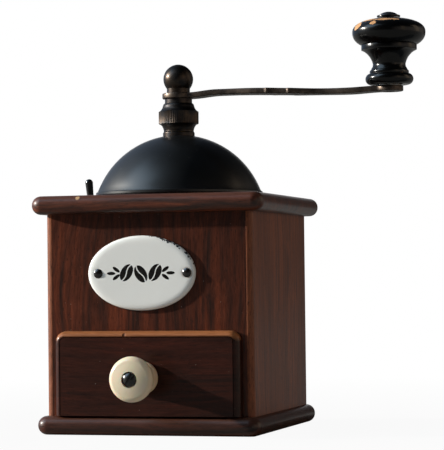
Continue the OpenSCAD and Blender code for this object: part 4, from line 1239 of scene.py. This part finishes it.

# %% [markdown]
# ## Lift spring
# Under the dome a spring presses the spindle down. It stands on a ring that rises with the spindle and bears
# against the bush above, so setting the burrs closer shortens it, where a stiff solid would run into the bush.
# The wire is a circle carried round by a spin that climbs.

# %% Wind the spring
COIL_R = 6.4
WIRE_R = 0.6
COIL_TURNS = 5
COIL_STEPS = 32 * COIL_TURNS
spring_low, spring_high = box_mm("lift_spring")
spring_length = spring_high.z - spring_low.z
spring = bmesh.new()
wire = bmesh.ops.create_circle(spring, segments=12, radius=WIRE_R)["verts"]
bmesh.ops.rotate(spring, cent=(0, 0, 0), matrix=QUARTER_TURN, verts=wire)
bmesh.ops.translate(spring, vec=(COIL_R, 0, spring_low.z + WIRE_R), verts=wire)
bmesh.ops.spin(spring, geom=wire + list(spring.edges), cent=(0, 0, 0), axis=(0, 0, 1),
               dvec=(0, 0, (spring_length - 2 * WIRE_R) / COIL_STEPS), angle=math.tau * COIL_TURNS,
               steps=COIL_STEPS, use_merge=False, use_duplicate=False)
bmesh.ops.holes_fill(spring, edges=[e for e in spring.edges if e.is_boundary])
bmesh.ops.recalc_face_normals(spring, faces=spring.faces)
wound = piece(spring, "wound_spring", "crank", drawn_steel, ["lift_spring"], sharp_deg=60)
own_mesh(wound)

# %% [markdown]
# ## Nodes that keep their solids
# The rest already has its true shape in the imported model: screws, washers, burrs, spindle and the drawer's
# box. They only need their finish. The plain boards also get a hair off their edges, with a weld first because
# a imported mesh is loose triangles.

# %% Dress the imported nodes
KEPT = {
    "oil-blackened": (nut_steel, ["dome_ring_nut", "keyed_washer", "crank_washer", "ball_nut", "shutter_tab"]),
    "japanned": (japan_black, ["name_plate_pins", "drawer_knob_screw", "shutter_knob", "handle_screw"]),
    "enamelled": (dome_black, ["dome_shutter"]),
    "cast": (grey_iron, ["mill_casting", "outer_burr", "inner_burr", "lower_bearing_bar"]),
    "drawn": (drawn_steel, [
        "base_screws", "casting_screws", "bearing_bar_screws", "bearing_bridge", "bridge_screws",
        "spindle", "burr_pin", "spring_seat", "handle_washer", "drawer_nails",
    ]),
    "brass": (bush_brass, ["spindle_bush"]),
    "deep grain": (beech_tray_side, ["drawer_left_side", "drawer_right_side", "drawer_guides"]),
    "cross grain": (beech_tray_across, ["drawer_back", "drawer_bottom"]),
}
for finish, names in KEPT.values():
    for name in names:
        slots = nodes[name].material_slots
        if not slots:
            nodes[name].data.materials.append(finish)
        for slot in slots:
            slot.material = finish
kept_names = sum((names for _, names in KEPT.values()), [])
shown = [name for name, node in nodes.items() if not node.hide_render]
print(len(kept_names), "nodes keep their solids; without a finish:", sorted(set(shown) - set(kept_names)))

# %% Ease the drawer's boards
EASED = 0.4
WELD_WITHIN = 0.01
plain_boards = KEPT["deep grain"][1] + KEPT["cross grain"][1]
for name in plain_boards:
    weld = nodes[name].modifiers.new("join_triangles", "WELD")
    weld.merge_threshold = WELD_WITHIN * MM
    edge = nodes[name].modifiers.new("eased_edges", "BEVEL")
    edge.width = EASED * MM
    edge.segments = 2
    edge.limit_method = "ANGLE"
print("eased:", plain_boards)
